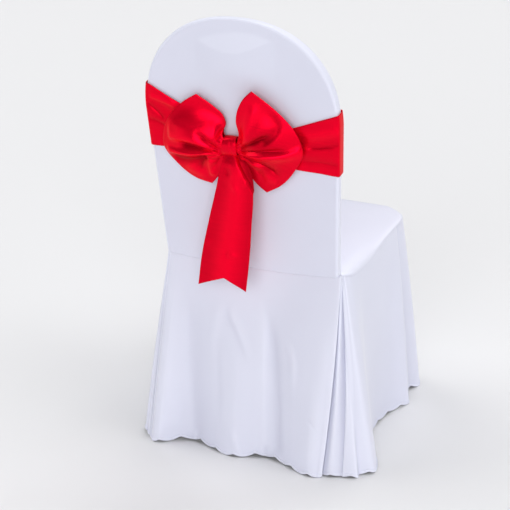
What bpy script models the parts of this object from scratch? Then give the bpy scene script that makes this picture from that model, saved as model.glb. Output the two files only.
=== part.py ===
"""Fitted cover for a round-backed banquet chair, with a sash tied in a bow.

Metres, +Z up. The rear face of the chair's back, with the bow, looks toward -Y and the
seat toward +Y. The cover is hollow and open below; the chair is not part of it.
"""

import math
from collections import namedtuple

import bmesh
import bpy
import numpy as np

# ---------------------------------------------------------------- driving sizes
CLOTH = 0.0012            # white stretch cloth
SATIN = 0.0010            # red sash
SEAM = 0.0004             # parting between two sewn pieces

MIDDLE_X = -0.0147        # the chair's middle plane, so that the whole cover is centred
BACK_Y = -0.1965          # where the rear face meets the seat seam

SEAT_HEIGHT = 0.424       # seam between back and skirt
BACK_LEAN = math.radians(9.2)
BACK_LOW = 0.382          # width of the back at the seat
BACK_HIGH = 0.411         # width where the arch starts
ARCH_START = 0.340        # up the slope of the back
ARCH_RISE = 0.2065        # of the rear edge of the arch
FRONT_RISE = 0.2015       # of its front edge, which is a little lower
ARCH_ROUND = 2.14         # exponent of the rear edge, 2 is an ellipse
FRONT_ROUND = 2.24        # exponent of the front edge
ARCH_STEPS = 22
BACK_THICK = 0.022
SEAM_SAG = 0.010          # the seat seam dips in the middle

SEAT_DEPTH = 0.455
SEAT_HALF = 0.2050
SEAT_CORNER = 0.085
SEAT_TOP = 0.4305
SEAT_CROWN = 0.0050
SEAT_ROLL = 0.030         # width of the rounded rim
SIDE_SEAM_PLACES = (0.000, 0.020, 0.045, 0.130, 0.260, 0.460)      # forward of the back
SIDE_SEAM_HEIGHTS = (0.4285, 0.4255, 0.4190, 0.4150, 0.4260, 0.4235)

SCALLOP_PITCH = 0.050
SCALLOP_DEPTH = 0.0065

WHITE = (0.80, 0.80, 0.90, 1.0)
RED = (0.78, 0.004, 0.018, 1.0)


# ---------------------------------------------------------------- scene and helpers
for old in list(bpy.data.objects):
    bpy.data.objects.remove(old, do_unlink=True)

cover = bpy.data.collections.new("chair_cover_with_sash")
bpy.context.scene.collection.children.link(cover)


def material(name, colour, roughness):
    """A plain Principled BSDF material."""
    made = bpy.data.materials.new(name)
    made.use_nodes = True
    shader = made.node_tree.nodes["Principled BSDF"]
    shader.inputs["Base Color"].default_value = colour
    shader.inputs["Roughness"].default_value = roughness
    shader.inputs["Metallic"].default_value = 0.0
    return made


def flow(stations, values, at):
    """A smooth curve through values at rising stations, read at the places in at."""
    stations = np.asarray(stations, float)
    values = np.asarray(values, float)
    slopes = np.gradient(values, stations, axis=0)
    at = np.atleast_1d(np.asarray(at, float))
    low = np.clip(np.searchsorted(stations, at, side="right") - 1, 0, len(stations) - 2)
    span = stations[low + 1] - stations[low]
    f = (at - stations[low]) / span
    if values.ndim > 1:
        f = f[:, None]
        span = span[:, None]
    start = (1 + 2 * f) * (1 - f) ** 2 * values[low] + f * (1 - f) ** 2 * span * slopes[low]
    end = f ** 2 * (3 - 2 * f) * values[low + 1] + f ** 2 * (f - 1) * span * slopes[low + 1]
    return start + end


def chords(points):
    """Distances along a polyline, from 0 to its length."""
    steps = np.linalg.norm(np.diff(np.asarray(points, float), axis=0), axis=1)
    return np.concatenate([[0.0], np.cumsum(steps)])


def curve_through(points, count):
    """Evenly spaced points on a smooth curve through a few given ones."""
    along = chords(points)
    fine = flow(along, points, np.linspace(0, along[-1], 8 * count + 1))
    length = chords(fine)
    even = np.linspace(0, length[-1], count)
    return np.column_stack([np.interp(even, length, fine[:, k]) for k in range(fine.shape[1])])


def spread(steps):
    """Column places for a table whose rows each span a given number of steps."""
    places = [0.0]
    for row, number in enumerate(steps):
        places.extend(row + (k + 1) / number for k in range(number))
    return np.array(places)


def sheet(name, grid, thickness, finish, ring=False):
    """A cloth of the given thickness about a grid of points, rows by columns."""
    grid = np.asarray(grid, float)
    rows, columns = grid.shape[:2]
    bpy.ops.mesh.primitive_grid_add(x_subdivisions=columns - 1, y_subdivisions=rows - 1, size=1)
    cloth = bpy.context.object
    cloth.name = name
    cloth.data.name = name
    for vertex in cloth.data.vertices:
        column = round((vertex.co.x + 0.5) * (columns - 1))
        row = round((vertex.co.y + 0.5) * (rows - 1))
        vertex.co = grid[row, column]
    if ring:
        shape = bmesh.new()
        shape.from_mesh(cloth.data)
        bmesh.ops.remove_doubles(shape, verts=shape.verts, dist=0.00001)
        shape.to_mesh(cloth.data)
        shape.free()
    solid = cloth.modifiers.new("thickness", "SOLIDIFY")
    solid.thickness = thickness
    solid.offset = 0.0
    solid.use_even_offset = True
    solid.thickness_clamp = 1.0
    cloth.data.materials.append(finish)
    cloth.data.shade_smooth()
    cloth.location = (MIDDLE_X, BACK_Y, 0.0)
    for holder in list(cloth.users_collection):
        holder.objects.unlink(cloth)
    cover.objects.link(cloth)
    return cloth


white = material("white_stretch_cloth", WHITE, 0.75)
red = material("red_satin", RED, 0.40)


# ---------------------------------------------------------------- the back
def on_back(across, up, out):
    """A point of the leaning back: across it, up its slope, out of its rear face."""
    y = -up * math.sin(BACK_LEAN) - out * math.cos(BACK_LEAN)
    z = SEAT_HEIGHT + up * math.cos(BACK_LEAN) - out * math.sin(BACK_LEAN)
    return np.stack([across + 0 * y, y, z], axis=-1)


def back_half_width(up):
    """Half the width of the back at a height up its slope."""
    straight = BACK_LOW / 2 + (BACK_HIGH - BACK_LOW) / 2 * up / ARCH_START
    rise = np.clip((up - ARCH_START) / ARCH_RISE, 0, 1)
    curved = BACK_HIGH / 2 * (1 - rise ** ARCH_ROUND) ** (1 / ARCH_ROUND)
    return np.where(up < ARCH_START, straight, curved)


def arch(inset, forward=0.0):
    """The round top from left to right, set in from the outline; forward is 1 at the front."""
    angle = np.linspace(math.pi, 0, ARCH_STEPS + 1)
    rise = ARCH_RISE + (FRONT_RISE - ARCH_RISE) * forward
    power = 2 / (ARCH_ROUND + (FRONT_ROUND - ARCH_ROUND) * forward)
    cosine = np.cos(angle)
    across = (BACK_HIGH / 2 - inset) * np.sign(cosine) * np.abs(cosine) ** power
    up = ARCH_START + (rise - inset) * np.abs(np.sin(angle)) ** power
    return np.column_stack([across, up])


def seam_height(across):
    """How far up the slope the seat seam lies."""
    return 0.004 - SEAM_SAG * (1 - (2 * across / BACK_LOW) ** 2)


def back_face(rows, inset, forward, foot, out, dents=()):
    """One face of the back, from its foot up to the arch."""
    top = arch(inset, forward)
    across = np.linspace(-1, 1, ARCH_STEPS + 1) * (BACK_LOW / 2 - inset)
    low = np.column_stack([across, foot(across)])
    lift = np.linspace(0, 1, rows + 1)[:, None, None]
    flat = (1 - lift) * low + lift * top
    depth = np.full(flat.shape[:2], float(out))
    for dent in dents:
        far = ((flat[..., 0] - dent.across) / dent.wide) ** 2 + ((flat[..., 1] - dent.up) / dent.tall) ** 2
        depth += dent.out * np.exp(-far)
    return on_back(flat[..., 0], flat[..., 1], depth)


Dent = namedtuple("Dent", "across up wide tall out")
BACK_DENTS = (
    Dent(-0.020, 0.470, 0.070, 0.035, -0.0020),    # shallow hollow under the crown
    Dent(0.000, 0.150, 0.140, 0.110, -0.0015),     # the cloth spans the padding
    Dent(0.000, 0.020, 0.150, 0.018, 0.0012),      # soft roll over the seat seam
)

BACK_ROWS = 16
INSIDE_ROWS = 10
inner = CLOTH + SEAM
sheet("back_panel", back_face(BACK_ROWS, inner, 0.0, seam_height, -CLOTH / 2, BACK_DENTS), CLOTH, white)

INSIDE_FOOT = 0.0075
inside_out = CLOTH / 2 - BACK_THICK
sheet("inside_back_panel",
      back_face(INSIDE_ROWS, inner, 1.0, lambda across: INSIDE_FOOT + 0 * across, inside_out), CLOTH, white)

# The band goes up the right side, over the arch and down the left side.
BAND_FOOT = 0.0035
SIDE_STEPS = 5
half_cloth = CLOTH / 2
left_foot = np.array([half_cloth - BACK_LOW / 2, BAND_FOOT])
climb = np.linspace(0, 1, SIDE_STEPS + 1)[:-1, None]
band_grid = []
for part in (0.0, 0.5, 1.0):
    over = arch(half_cloth, part)
    left_side = left_foot + climb * (over[0] - left_foot)
    right_side = left_side[::-1] * (-1, 1)
    path = np.concatenate([left_side, over, right_side])
    band_grid.append(on_back(path[:, 0], path[:, 1], -BACK_THICK * part + 0 * path[:, 0]))
sheet("back_edge_band", band_grid, CLOTH, white)


# ---------------------------------------------------------------- the seat
WAIST_WAVE = 0.0025       # the sides of the seat are a little uneven
WAIST_FULL_AT = 0.15
WAIST_PERIOD = 0.55
REAR_TUCK = 0.0120        # the rear corners are drawn in to the back
REAR_TUCK_AT = 0.010
REAR_TUCK_REACH = 0.020


def seat_half_width(y):
    """Half the width of the seat at a distance forward of the seam."""
    waist = SEAT_HALF + WAIST_WAVE * np.cos((y - WAIST_FULL_AT) * 2 * math.pi / WAIST_PERIOD)
    tuck = REAR_TUCK * np.exp(-((y - REAR_TUCK_AT) / REAR_TUCK_REACH) ** 2)
    round_from = SEAT_DEPTH - SEAT_CORNER
    turn = np.clip((y - round_from) / SEAT_CORNER, 0, 1)
    return waist - tuck - SEAT_CORNER * (1 - np.sqrt(1 - turn ** 2))


def side_seam(y):
    """Height of the seam between seat and skirt."""
    return flow(SIDE_SEAM_PLACES, SIDE_SEAM_HEIGHTS, np.ravel(y)).reshape(np.shape(y))


SEAT_BACK = 0.0195
SEAT_FLARE = 0.065        # the rear corners widen up to here
SEAT_SIDE_ROWS = 6
SEAT_CORNER_ROWS = 7
SEAT_COLUMNS = 16
FRONT_BOW = 0.004         # the front edge is bowed out
flare_rows = np.linspace(SEAT_BACK, SEAT_FLARE, 5)[:-1]
side_rows = np.linspace(SEAT_FLARE, SEAT_DEPTH - SEAT_CORNER, SEAT_SIDE_ROWS + 1)
straight_rows = np.concatenate([flare_rows, side_rows])
corner_angle = np.linspace(0, math.pi / 2, SEAT_CORNER_ROWS + 1)[1:]
corner_rows = SEAT_DEPTH - SEAT_CORNER + SEAT_CORNER * np.sin(corner_angle)
seat_y = np.concatenate([straight_rows, corner_rows])[:, None]
seat_s = np.cos(np.linspace(math.pi, 0, SEAT_COLUMNS + 1))[None, :]
seat_x = seat_s * seat_half_width(seat_y)
bow_out = FRONT_BOW * (1 - seat_s ** 2) * np.clip(seat_y / SEAT_DEPTH, 0, 1) ** 4
from_side = (1 - np.abs(seat_s)) * seat_half_width(seat_y)
from_front = SEAT_DEPTH - seat_y + 0 * seat_s
near = np.minimum(np.minimum(from_side, from_front) / SEAT_ROLL, 1)
rounding = np.sqrt(1 - (1 - near) ** 2)
seat_rim = side_seam(seat_y) + SEAM
crown = SEAT_CROWN * (1 - seat_s ** 2) * np.sin(math.pi * np.clip(seat_y / SEAT_DEPTH, 0, 1))
seat_z = seat_rim + (SEAT_TOP - seat_rim) * rounding + crown
seat_grid = np.stack([seat_x, seat_y + bow_out, seat_z + 0 * seat_x], axis=-1)
sheet("seat_panel", seat_grid, CLOTH, white)

# ---------------------------------------------------------------- the skirt
Fold = namedtuple("Fold", "top_x top_y mid_x mid_y hem_x hem_y lift steps")


def skirt(folds, top_z, rows):
    """A hanging panel through its folds at the seam, half way down and at the hem."""
    table = np.array(folds, float)
    places = spread([int(fold.steps) for fold in folds[:-1]])
    index = np.arange(len(folds))
    top = flow(index, table[:, 0:2], places)
    mid = flow(index, table[:, 2:4], places)
    hem = flow(index, table[:, 4:6], places)
    lift = flow(index, table[:, 6], places)
    length = chords(hem)
    scallops = round(length[-1] / SCALLOP_PITCH)
    within = (length / length[-1] * scallops) % 1.0
    hem_z = lift + SCALLOP_DEPTH * (2 * within - 1) ** 2
    grid = []
    for t in np.linspace(0, 1, rows + 1):
        plan = top * (1 - t) * (1 - 2 * t) + mid * 4 * t * (1 - t) + hem * t * (2 * t - 1)
        z = top_z(top) * (1 - t) + hem_z * t
        grid.append(np.column_stack([plan, z]))
    return np.array(grid)


def mirrored(folds, changes):
    """The same folds on the other side, with the named ones replaced."""
    flipped = [Fold(-f.top_x, f.top_y, -f.mid_x, f.mid_y, -f.hem_x, f.hem_y, f.lift, f.steps) for f in folds]
    for row, fold in changes.items():
        flipped[row] = fold
    return flipped


SKIRT_DROP = 0.0008       # the skirt's top edge lies this far under the seam


def back_seam_z(top):
    """Top of the back skirt, just under the back panel."""
    return SEAT_HEIGHT + seam_height(top[:, 0]) * math.cos(BACK_LEAN) - SKIRT_DROP


def side_seam_z(top):
    """Top of the other skirts, just under the rim of the seat."""
    return side_seam(top[:, 1]) - SKIRT_DROP


BACK_FOLDS = [
    # left edge turned under, waves of the panel, right edge turned under
    Fold(-0.1780, 0.0062, -0.1950, -0.0215, -0.2060, -0.0440, 0.004, 1),
    Fold(-0.1845, 0.0062, -0.2025, -0.0225, -0.2140, -0.0440, 0.003, 2),
    Fold(-0.1880, 0.0034, -0.2065, -0.0255, -0.2185, -0.0475, 0.003, 2),
    Fold(-0.1845, 0.0006, -0.2025, -0.0290, -0.2145, -0.0520, 0.002, 3),
    Fold(-0.1640, 0.0006, -0.1800, -0.0320, -0.1940, -0.0590, 0.001, 6),
    Fold(-0.1150, 0.0006, -0.1220, -0.0180, -0.1280, -0.0240, 0.005, 9),
    Fold(-0.0250, 0.0006, -0.0270, -0.0290, -0.0240, -0.0560, 0.001, 7),
    Fold(0.0450, 0.0006, 0.0470, -0.0190, 0.0520, -0.0330, 0.005, 8),
    Fold(0.1320, 0.0006, 0.1400, -0.0340, 0.1510, -0.0720, 0.001, 5),
    Fold(0.1905, 0.0006, 0.1905, -0.0330, 0.1830, -0.0700, 0.001, 2),
    Fold(0.1960, 0.0036, 0.1965, -0.0290, 0.1890, -0.0645, 0.002, 2),
    Fold(0.1905, 0.0066, 0.1905, -0.0255, 0.1830, -0.0605, 0.003, 1),
    Fold(0.1825, 0.0066, 0.1825, -0.0245, 0.1750, -0.0595, 0.004, 1),
]
SKIRT_ROWS = 6
sheet("skirt_back", skirt(BACK_FOLDS, back_seam_z, SKIRT_ROWS), CLOTH, white)

RIGHT_FOLDS = [
    # tucked behind the back skirt, corner pleat, side, front edge turned under
    Fold(0.1790, 0.0098, 0.1720, -0.0140, 0.1600, -0.0440, 0.006, 2),
    Fold(0.1880, 0.0098, 0.1950, -0.0155, 0.1900, -0.0490, 0.002, 3),
    Fold(0.1934, 0.0104, 0.2060, -0.0200, 0.2065, -0.0545, 0.001, 3),
    Fold(0.1940, 0.0130, 0.2160, -0.0060, 0.2240, -0.0440, 0.004, 3),
    Fold(0.1947, 0.0165, 0.2285, -0.0185, 0.2520, -0.0415, 0.000, 2),
    Fold(0.1957, 0.0205, 0.2340, -0.0100, 0.2590, -0.0240, 0.002, 2),
    Fold(0.1990, 0.0265, 0.2445, 0.0020, 0.2830, -0.0040, 0.001, 3),
    Fold(0.2050, 0.0480, 0.2420, 0.0400, 0.2745, 0.0400, 0.004, 5),
    Fold(0.2070, 0.1100, 0.2190, 0.1120, 0.2350, 0.1150, 0.004, 6),
    Fold(0.2070, 0.1900, 0.2130, 0.1900, 0.2175, 0.1880, 0.003, 6),
    Fold(0.2053, 0.2700, 0.2160, 0.2710, 0.2250, 0.2700, 0.003, 5),
    Fold(0.2035, 0.3360, 0.2290, 0.3350, 0.2495, 0.3320, 0.001, 2),
    Fold(0.2005, 0.3410, 0.2255, 0.3400, 0.2460, 0.3370, 0.001, 2),
    Fold(0.1977, 0.3370, 0.2225, 0.3360, 0.2430, 0.3330, 0.002, 1),
    Fold(0.1973, 0.3290, 0.2215, 0.3280, 0.2415, 0.3250, 0.003, 1),
]
sheet("skirt_right", skirt(RIGHT_FOLDS, side_seam_z, SKIRT_ROWS), CLOTH, white)

LEFT_CHANGES = {
    0: Fold(-0.1790, 0.0098, -0.1820, -0.0120, -0.1950, -0.0300, 0.006, 2),
    1: Fold(-0.1880, 0.0098, -0.2030, -0.0130, -0.2170, -0.0330, 0.003, 3),
    2: Fold(-0.1934, 0.0104, -0.2100, -0.0150, -0.2270, -0.0370, 0.002, 3),
    3: Fold(-0.1940, 0.0130, -0.2130, -0.0100, -0.2330, -0.0300, 0.004, 3),
    4: Fold(-0.1947, 0.0165, -0.2170, -0.0080, -0.2385, -0.0270, 0.002, 2),
    5: Fold(-0.1957, 0.0205, -0.2205, -0.0040, -0.2440, -0.0190, 0.003, 2),
    6: Fold(-0.1990, 0.0265, -0.2250, 0.0060, -0.2500, -0.0030, 0.002, 3),
    7: Fold(-0.2050, 0.0480, -0.2290, 0.0420, -0.2540, 0.0380, 0.004, 5),
    9: Fold(-0.2070, 0.1900, -0.2145, 0.1850, -0.2210, 0.1800, 0.003, 6),
}
sheet("skirt_left", skirt(mirrored(RIGHT_FOLDS, LEFT_CHANGES), side_seam_z, SKIRT_ROWS), CLOTH, white)

HALF_FRONT = [
    # tucked behind the side skirt, corner pleat, then half of the front
    Fold(0.1930, 0.3150, 0.2150, 0.3130, 0.2325, 0.3080, 0.006, 2),
    Fold(0.1925, 0.3440, 0.2135, 0.3460, 0.2310, 0.3440, 0.003, 3),
    Fold(0.2010, 0.3640, 0.2165, 0.3800, 0.2290, 0.4000, 0.004, 4),
    Fold(0.1978, 0.4030, 0.2225, 0.4240, 0.2425, 0.4430, 0.000, 4),
    Fold(0.1790, 0.4310, 0.1890, 0.4620, 0.2000, 0.4870, 0.003, 5),
    Fold(0.1290, 0.4545, 0.1325, 0.4690, 0.1380, 0.4790, 0.005, 6),
    Fold(0.0700, 0.4575, 0.0710, 0.4790, 0.0750, 0.4930, 0.001, 6),
]
MIDDLE_FRONT = [Fold(0.0, 0.4590, 0.0, 0.4720, 0.0, 0.4760, 0.005, 6)]
other_front = mirrored(HALF_FRONT, {})[::-1]
other_steps = [fold.steps for fold in HALF_FRONT[:-1]][::-1] + [1]
other_front = [fold._replace(steps=number) for fold, number in zip(other_front, other_steps)]
front_folds = HALF_FRONT + MIDDLE_FRONT + other_front
sheet("skirt_front", skirt(front_folds, side_seam_z, SKIRT_ROWS - 1), CLOTH, white)

# ---------------------------------------------------------------- the sash
KNOT_X = -0.0156
KNOT_UP = 0.2812
KNOT_HALF = 0.0190        # half its width
KNOT_TALL = 0.0202        # half its height
KNOT_DEEP = 0.0158        # half its depth
KNOT_OUT = 0.0170
KNOT_SQUARE = 4.0
PINCH = 0.0143            # half the height of the satin gathered in the knot
KNOT_LOW = KNOT_UP - PINCH
KNOT_HIGH = KNOT_UP + PINCH

Strap = namedtuple("Strap", "across edge out low high fold steps")
# Columns from the knot round the left edge, the front and the right edge, back to the knot.
# Where edge is -1 or 1, across is counted from that edge of the back.
BEHIND = -BACK_THICK - 0.0030
STRAPS = [
    Strap(KNOT_X, 0, 0.0060, KNOT_LOW, KNOT_HIGH, 0.0010, 2),
    Strap(-0.0340, 0, 0.0060, KNOT_LOW, KNOT_HIGH, 0.0010, 3),
    Strap(-0.0750, 0, 0.0062, 0.2620, 0.3280, 0.0022, 3),
    Strap(-0.1260, 0, 0.0050, 0.2560, 0.3535, 0.0018, 3),
    Strap(0.0290, -1, 0.0036, 0.2540, 0.3780, 0.0012, 2),
    Strap(0.0060, -1, 0.0030, 0.2530, 0.3890, 0.0005, 1),
    Strap(-0.0020, -1, 0.0008, 0.2527, 0.3903, 0.0000, 1),
    Strap(-0.0030, -1, -0.0050, 0.2527, 0.3903, 0.0000, 2),
    Strap(-0.0030, -1, 0.0050 - BACK_THICK, 0.2527, 0.3903, 0.0000, 1),
    Strap(-0.0020, -1, -0.0008 - BACK_THICK, 0.2527, 0.3900, 0.0000, 1),
    Strap(0.0060, -1, BEHIND, 0.2520, 0.3890, 0.0000, 5),
    Strap(0.0, 0, BEHIND - 0.0012, 0.2430, 0.3760, 0.0012, 5),
    Strap(-0.0060, 1, BEHIND, 0.2360, 0.3690, 0.0000, 1),
    Strap(0.0020, 1, -0.0008 - BACK_THICK, 0.2355, 0.3690, 0.0000, 1),
    Strap(0.0030, 1, 0.0050 - BACK_THICK, 0.2352, 0.3690, 0.0000, 2),
    Strap(0.0030, 1, -0.0050, 0.2350, 0.3685, 0.0000, 1),
    Strap(0.0020, 1, 0.0008, 0.2350, 0.3677, 0.0000, 1),
    Strap(-0.0060, 1, 0.0030, 0.2360, 0.3645, 0.0008, 2),
    Strap(-0.0380, 1, 0.0036, 0.2385, 0.3520, 0.0014, 3),
    Strap(0.1100, 0, 0.0050, 0.2420, 0.3300, 0.0018, 3),
    Strap(0.0500, 0, 0.0062, 0.2530, 0.3110, 0.0020, 3),
    Strap(0.0058, 0, 0.0060, KNOT_LOW, KNOT_HIGH, 0.0010, 2),
    Strap(KNOT_X, 0, 0.0060, KNOT_LOW, KNOT_HIGH, 0.0010, 0),
]
BAND_ROWS = 8
BAND_FOLDS = 2.3          # soft folds across the width of the band
BAND_FOLD_SHIFT = 0.15
strap_table = np.array(STRAPS, float)
strap_places = spread([strap.steps for strap in STRAPS[:-1]])
strap = flow(np.arange(len(STRAPS)), strap_table[:, :6], strap_places)
band_sash = []
for rise in np.linspace(0, 1, BAND_ROWS + 1):
    up = strap[:, 3] + (strap[:, 4] - strap[:, 3]) * rise
    across = strap[:, 0] + strap[:, 1] * back_half_width(up)
    wave = strap[:, 5] * np.cos(2 * math.pi * (BAND_FOLDS * rise + BAND_FOLD_SHIFT * strap[:, 1]))
    band_sash.append(on_back(across, up, strap[:, 2] + wave))
sheet("sash_band", band_sash, SATIN, red, ring=True)

# ---------------------------------------------------------------- the bow
LOOP_STEPS = 14
LOOP_ROWS = 16
FRONT_OUT = 0.0265        # front layer where the knot holds it
REAR_OUT = 0.0125
PUFF = 0.0240
REAR_DIP = 0.0030
PUFF_FROM = 0.12          # share of the width where the loop begins to swell
PUFF_FULL = 0.40
PUFF_EASE = 0.75          # where it thins again toward the upper edge
TURN_EASE = 0.12          # packs the columns toward the knot
GATHERS = 4               # fine gathers beside the knot
GATHER_DEPTH = 0.0010

Crease = namedtuple("Crease", "at_knot at_fold wide out from_knot fade")
LEFT_LOOP = {
    "low": [(-0.0355, KNOT_LOW), (-0.0365, 0.2420), (-0.0510, 0.2090), (-0.0640, 0.1925)],
    "high": [(-0.0355, KNOT_HIGH), (-0.0345, 0.3100), (-0.0280, 0.3250), (-0.0325, 0.3430),
             (-0.0510, 0.3600), (-0.0870, 0.3840)],
    "fold": [(-0.0640, 0.1925), (-0.1000, 0.2010), (-0.1410, 0.2310), (-0.1650, 0.2640),
             (-0.1635, 0.2940), (-0.1495, 0.3290), (-0.1150, 0.3660), (-0.0870, 0.3840)],
    "creases": [
        Crease(0.62, 0.74, 0.060, -0.0045, 0.0, 0.75),
        Crease(0.52, 0.60, 0.045, 0.0040, 0.0, 1.2),
        Crease(0.46, 0.51, 0.040, -0.0045, 0.0, 0.9),
        Crease(0.40, 0.43, 0.045, 0.0035, 0.0, 1.1),
        Crease(0.30, 0.34, 0.050, -0.0040, 0.0, 0.9),
        Crease(0.25, 0.16, 0.060, 0.0030, 0.2, 0.8),
    ],
}
RIGHT_LOOP = {
    "low": [(0.0045, KNOT_LOW), (0.0180, 0.2370), (0.0350, 0.2090), (0.0555, 0.1890)],
    "high": [(0.0045, KNOT_HIGH), (0.0052, 0.3110), (0.0015, 0.3430), (0.0070, 0.3680),
             (0.0200, 0.3920), (0.0360, 0.4080)],
    "fold": [(0.0555, 0.1890), (0.0870, 0.2090), (0.1215, 0.2520), (0.1365, 0.2840),
             (0.1290, 0.3180), (0.1010, 0.3560), (0.0730, 0.3810), (0.0360, 0.4080)],
    "creases": [
        Crease(0.62, 0.66, 0.055, -0.0065, 0.0, 0.55),
        Crease(0.54, 0.58, 0.040, 0.0045, 0.0, 0.8),
        Crease(0.47, 0.48, 0.035, -0.0035, 0.1, 1.2),
        Crease(0.40, 0.40, 0.050, 0.0040, 0.0, 1.1),
        Crease(0.29, 0.22, 0.050, -0.0040, 0.0, 0.9),
    ],
}


def patch(low, high, fold, along, across):
    """A flat patch between a lower, an upper and an outer edge, from the knot outward."""
    low_curve = curve_through(low, 61)
    high_curve = curve_through(high, 61)
    fold_curve = curve_through(fold, 121)

    def read(curve, place):
        index = np.linspace(0, 1, len(curve))
        return np.stack([np.interp(place, index, curve[:, k]) for k in (0, 1)], axis=-1)

    s = along[..., None]
    w = across[..., None]
    knot = (1 - w) * low_curve[0] + w * high_curve[0]
    corners = ((1 - s) * (1 - w) * low_curve[0] + (1 - s) * w * high_curve[0]
               + s * (1 - w) * low_curve[-1] + s * w * high_curve[-1])
    return ((1 - w) * read(low_curve, along) + w * read(high_curve, along)
            + (1 - s) * knot + s * read(fold_curve, across) - corners)


def loop_grid(loop):
    """One loop of the bow: out from the knot in front, round its fold and back behind."""
    even = np.linspace(0, 1, LOOP_STEPS + 1)
    turn = math.pi * (even - TURN_EASE * np.sin(2 * math.pi * even))[None, :]
    w = np.linspace(0, 1, LOOP_ROWS + 1)[:, None]
    along = np.sin(turn) + 0 * w
    across = w + 0 * turn
    flat = patch(loop["low"], loop["high"], loop["fold"], along, across)
    swell = np.sin(math.pi * np.clip(along, 0, 1))
    rising = np.clip((across - PUFF_FROM) / (PUFF_FULL - PUFF_FROM), 0, 1)
    fullness = rising * (1 - 0.5 * np.clip((across - PUFF_EASE) / (1 - PUFF_EASE), 0, 1))
    front = FRONT_OUT + PUFF * fullness * swell
    rear = REAR_OUT - REAR_DIP * swell
    out = (front + rear) / 2 + (front - rear) / 2 * np.cos(turn)
    facing = np.clip(np.cos(turn), 0, 1) ** 0.5
    for crease in loop["creases"]:
        line = crease.at_knot + (crease.at_fold - crease.at_knot) * along
        strength = np.clip(along / 0.25, 0, 1) * np.clip((crease.fade - along) / 0.3, 0, 1)
        out += crease.out * np.exp(-((across - line) / crease.wide) ** 2) * strength * facing
    side_of_loop = np.where(np.cos(turn) > -0.001, 1, -1)
    out += GATHER_DEPTH * np.cos(2 * math.pi * GATHERS * across) * (1 - along) * side_of_loop
    return on_back(flat[..., 0], flat[..., 1], out)


left_grid = loop_grid(LEFT_LOOP)
right_grid = loop_grid(RIGHT_LOOP)[:, ::-1]
bow_grid = np.concatenate([left_grid, right_grid, left_grid[:, :1]], axis=1)
sheet("bow_loops", bow_grid, SATIN, red, ring=True)

KNOT_STEPS = 28
KNOT_ROWS = 6
KNOT_BELLY = 0.05         # swelling of the middle of the wrap
KNOT_WAIST = 0.10         # the front is a little narrower
KNOT_PLEAT = 0.0012
around = np.linspace(0, 2 * math.pi, KNOT_STEPS + 1)[None, :]
side = np.linspace(-1, 1, KNOT_ROWS + 1)[:, None]
power = 2 / KNOT_SQUARE
cosine = np.cos(around)
sine = np.sin(around)
belly = 1 + KNOT_BELLY * (1 - side ** 2)
in_front = np.clip(cosine, 0, 1)
pleat = KNOT_PLEAT * np.cos(3 * math.pi * side + 0.6) * in_front
depth = KNOT_DEEP * np.sign(cosine) * np.abs(cosine) ** power
knot_out = KNOT_OUT + depth * (1 + (belly - 1) * in_front) + pleat
knot_up = KNOT_UP + KNOT_TALL * belly * np.sign(sine) * np.abs(sine) ** power
knot_across = KNOT_X + KNOT_HALF * side * (1 - KNOT_WAIST * in_front) + 0 * around
sheet("bow_knot", on_back(knot_across, knot_up, knot_out), SATIN, red, ring=True)

Tail = namedtuple("Tail", "z y left right")
TAIL = [
    Tail(0.6766, -0.0735, -0.0290, 0.0030),
    Tail(0.6690, -0.0765, -0.0310, 0.0180),
    Tail(0.6550, -0.0785, -0.0350, 0.0330),
    Tail(0.6200, -0.0785, -0.0420, 0.0352),
    Tail(0.5400, -0.0765, -0.0612, 0.0325),
    Tail(0.4620, -0.0750, -0.0780, 0.0270),
    Tail(0.3955, -0.0750, -0.0865, 0.0200),
]
TAIL_ROWS = 14
TAIL_STEPS = 12
NOTCH = 0.0270            # depth of the V at the end
TIP_DROP = 0.0055         # the right tip hangs lower
FOLD_START = 0.0010       # the front layer's own edge at the knot
FOLD_SLOPE = 0.49         # how fast that edge runs out to the right
STEP_BACK = 0.0070        # the layer behind it lies this far back
STEP_EDGE = 0.006
STEP_LOW = 0.54           # the step is gone at this height
STEP_FADE = 0.06
TAIL_WAVE = 0.0030
tail_table = np.array(TAIL)
fall = np.linspace(0, 1, TAIL_ROWS + 1)
tail_z = (TAIL[0].z + (TAIL[-1].z - TAIL[0].z) * fall)[:, None]
tail_row = flow(-tail_table[:, 0], tail_table[:, 1:], -tail_z[:, 0])
fall = fall[:, None]
span = np.linspace(0, 1, TAIL_STEPS + 1)[None, :]
tail_x = tail_row[:, 1:2] + (tail_row[:, 2:3] - tail_row[:, 1:2]) * span
cut = NOTCH * (1 - np.abs(2 * span - 1.1) / 1.1) - TIP_DROP * span
notch = cut * np.clip(2 * fall - 1, 0, 1)
fold_line = FOLD_START + (TAIL[0].z - tail_z) * FOLD_SLOPE
step = np.clip((tail_x - fold_line) / STEP_EDGE, 0, 1) * np.clip((tail_z - STEP_LOW) / STEP_FADE, 0, 1)
soft = TAIL_WAVE * np.sin(math.pi * (2.2 * span + 0.3)) * np.clip(fall / 0.15, 0, 1)
tail_y = tail_row[:, 0:1] + STEP_BACK * step + soft
sheet("bow_tail", np.stack([tail_x, tail_y, tail_z + notch], axis=-1), SATIN, red)
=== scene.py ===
"""A fitted cover for a round-backed banquet chair, with a red satin sash tied in a bow.

Sizes are in metres, but the tables of folds, creases, loops and tail are in millimetres. The rear
of the chair's back, with the bow, looks toward -Y and the seat toward +Y.
"""

import math
from collections import namedtuple

import bpy
import numpy as np
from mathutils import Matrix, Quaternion, Vector


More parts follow.
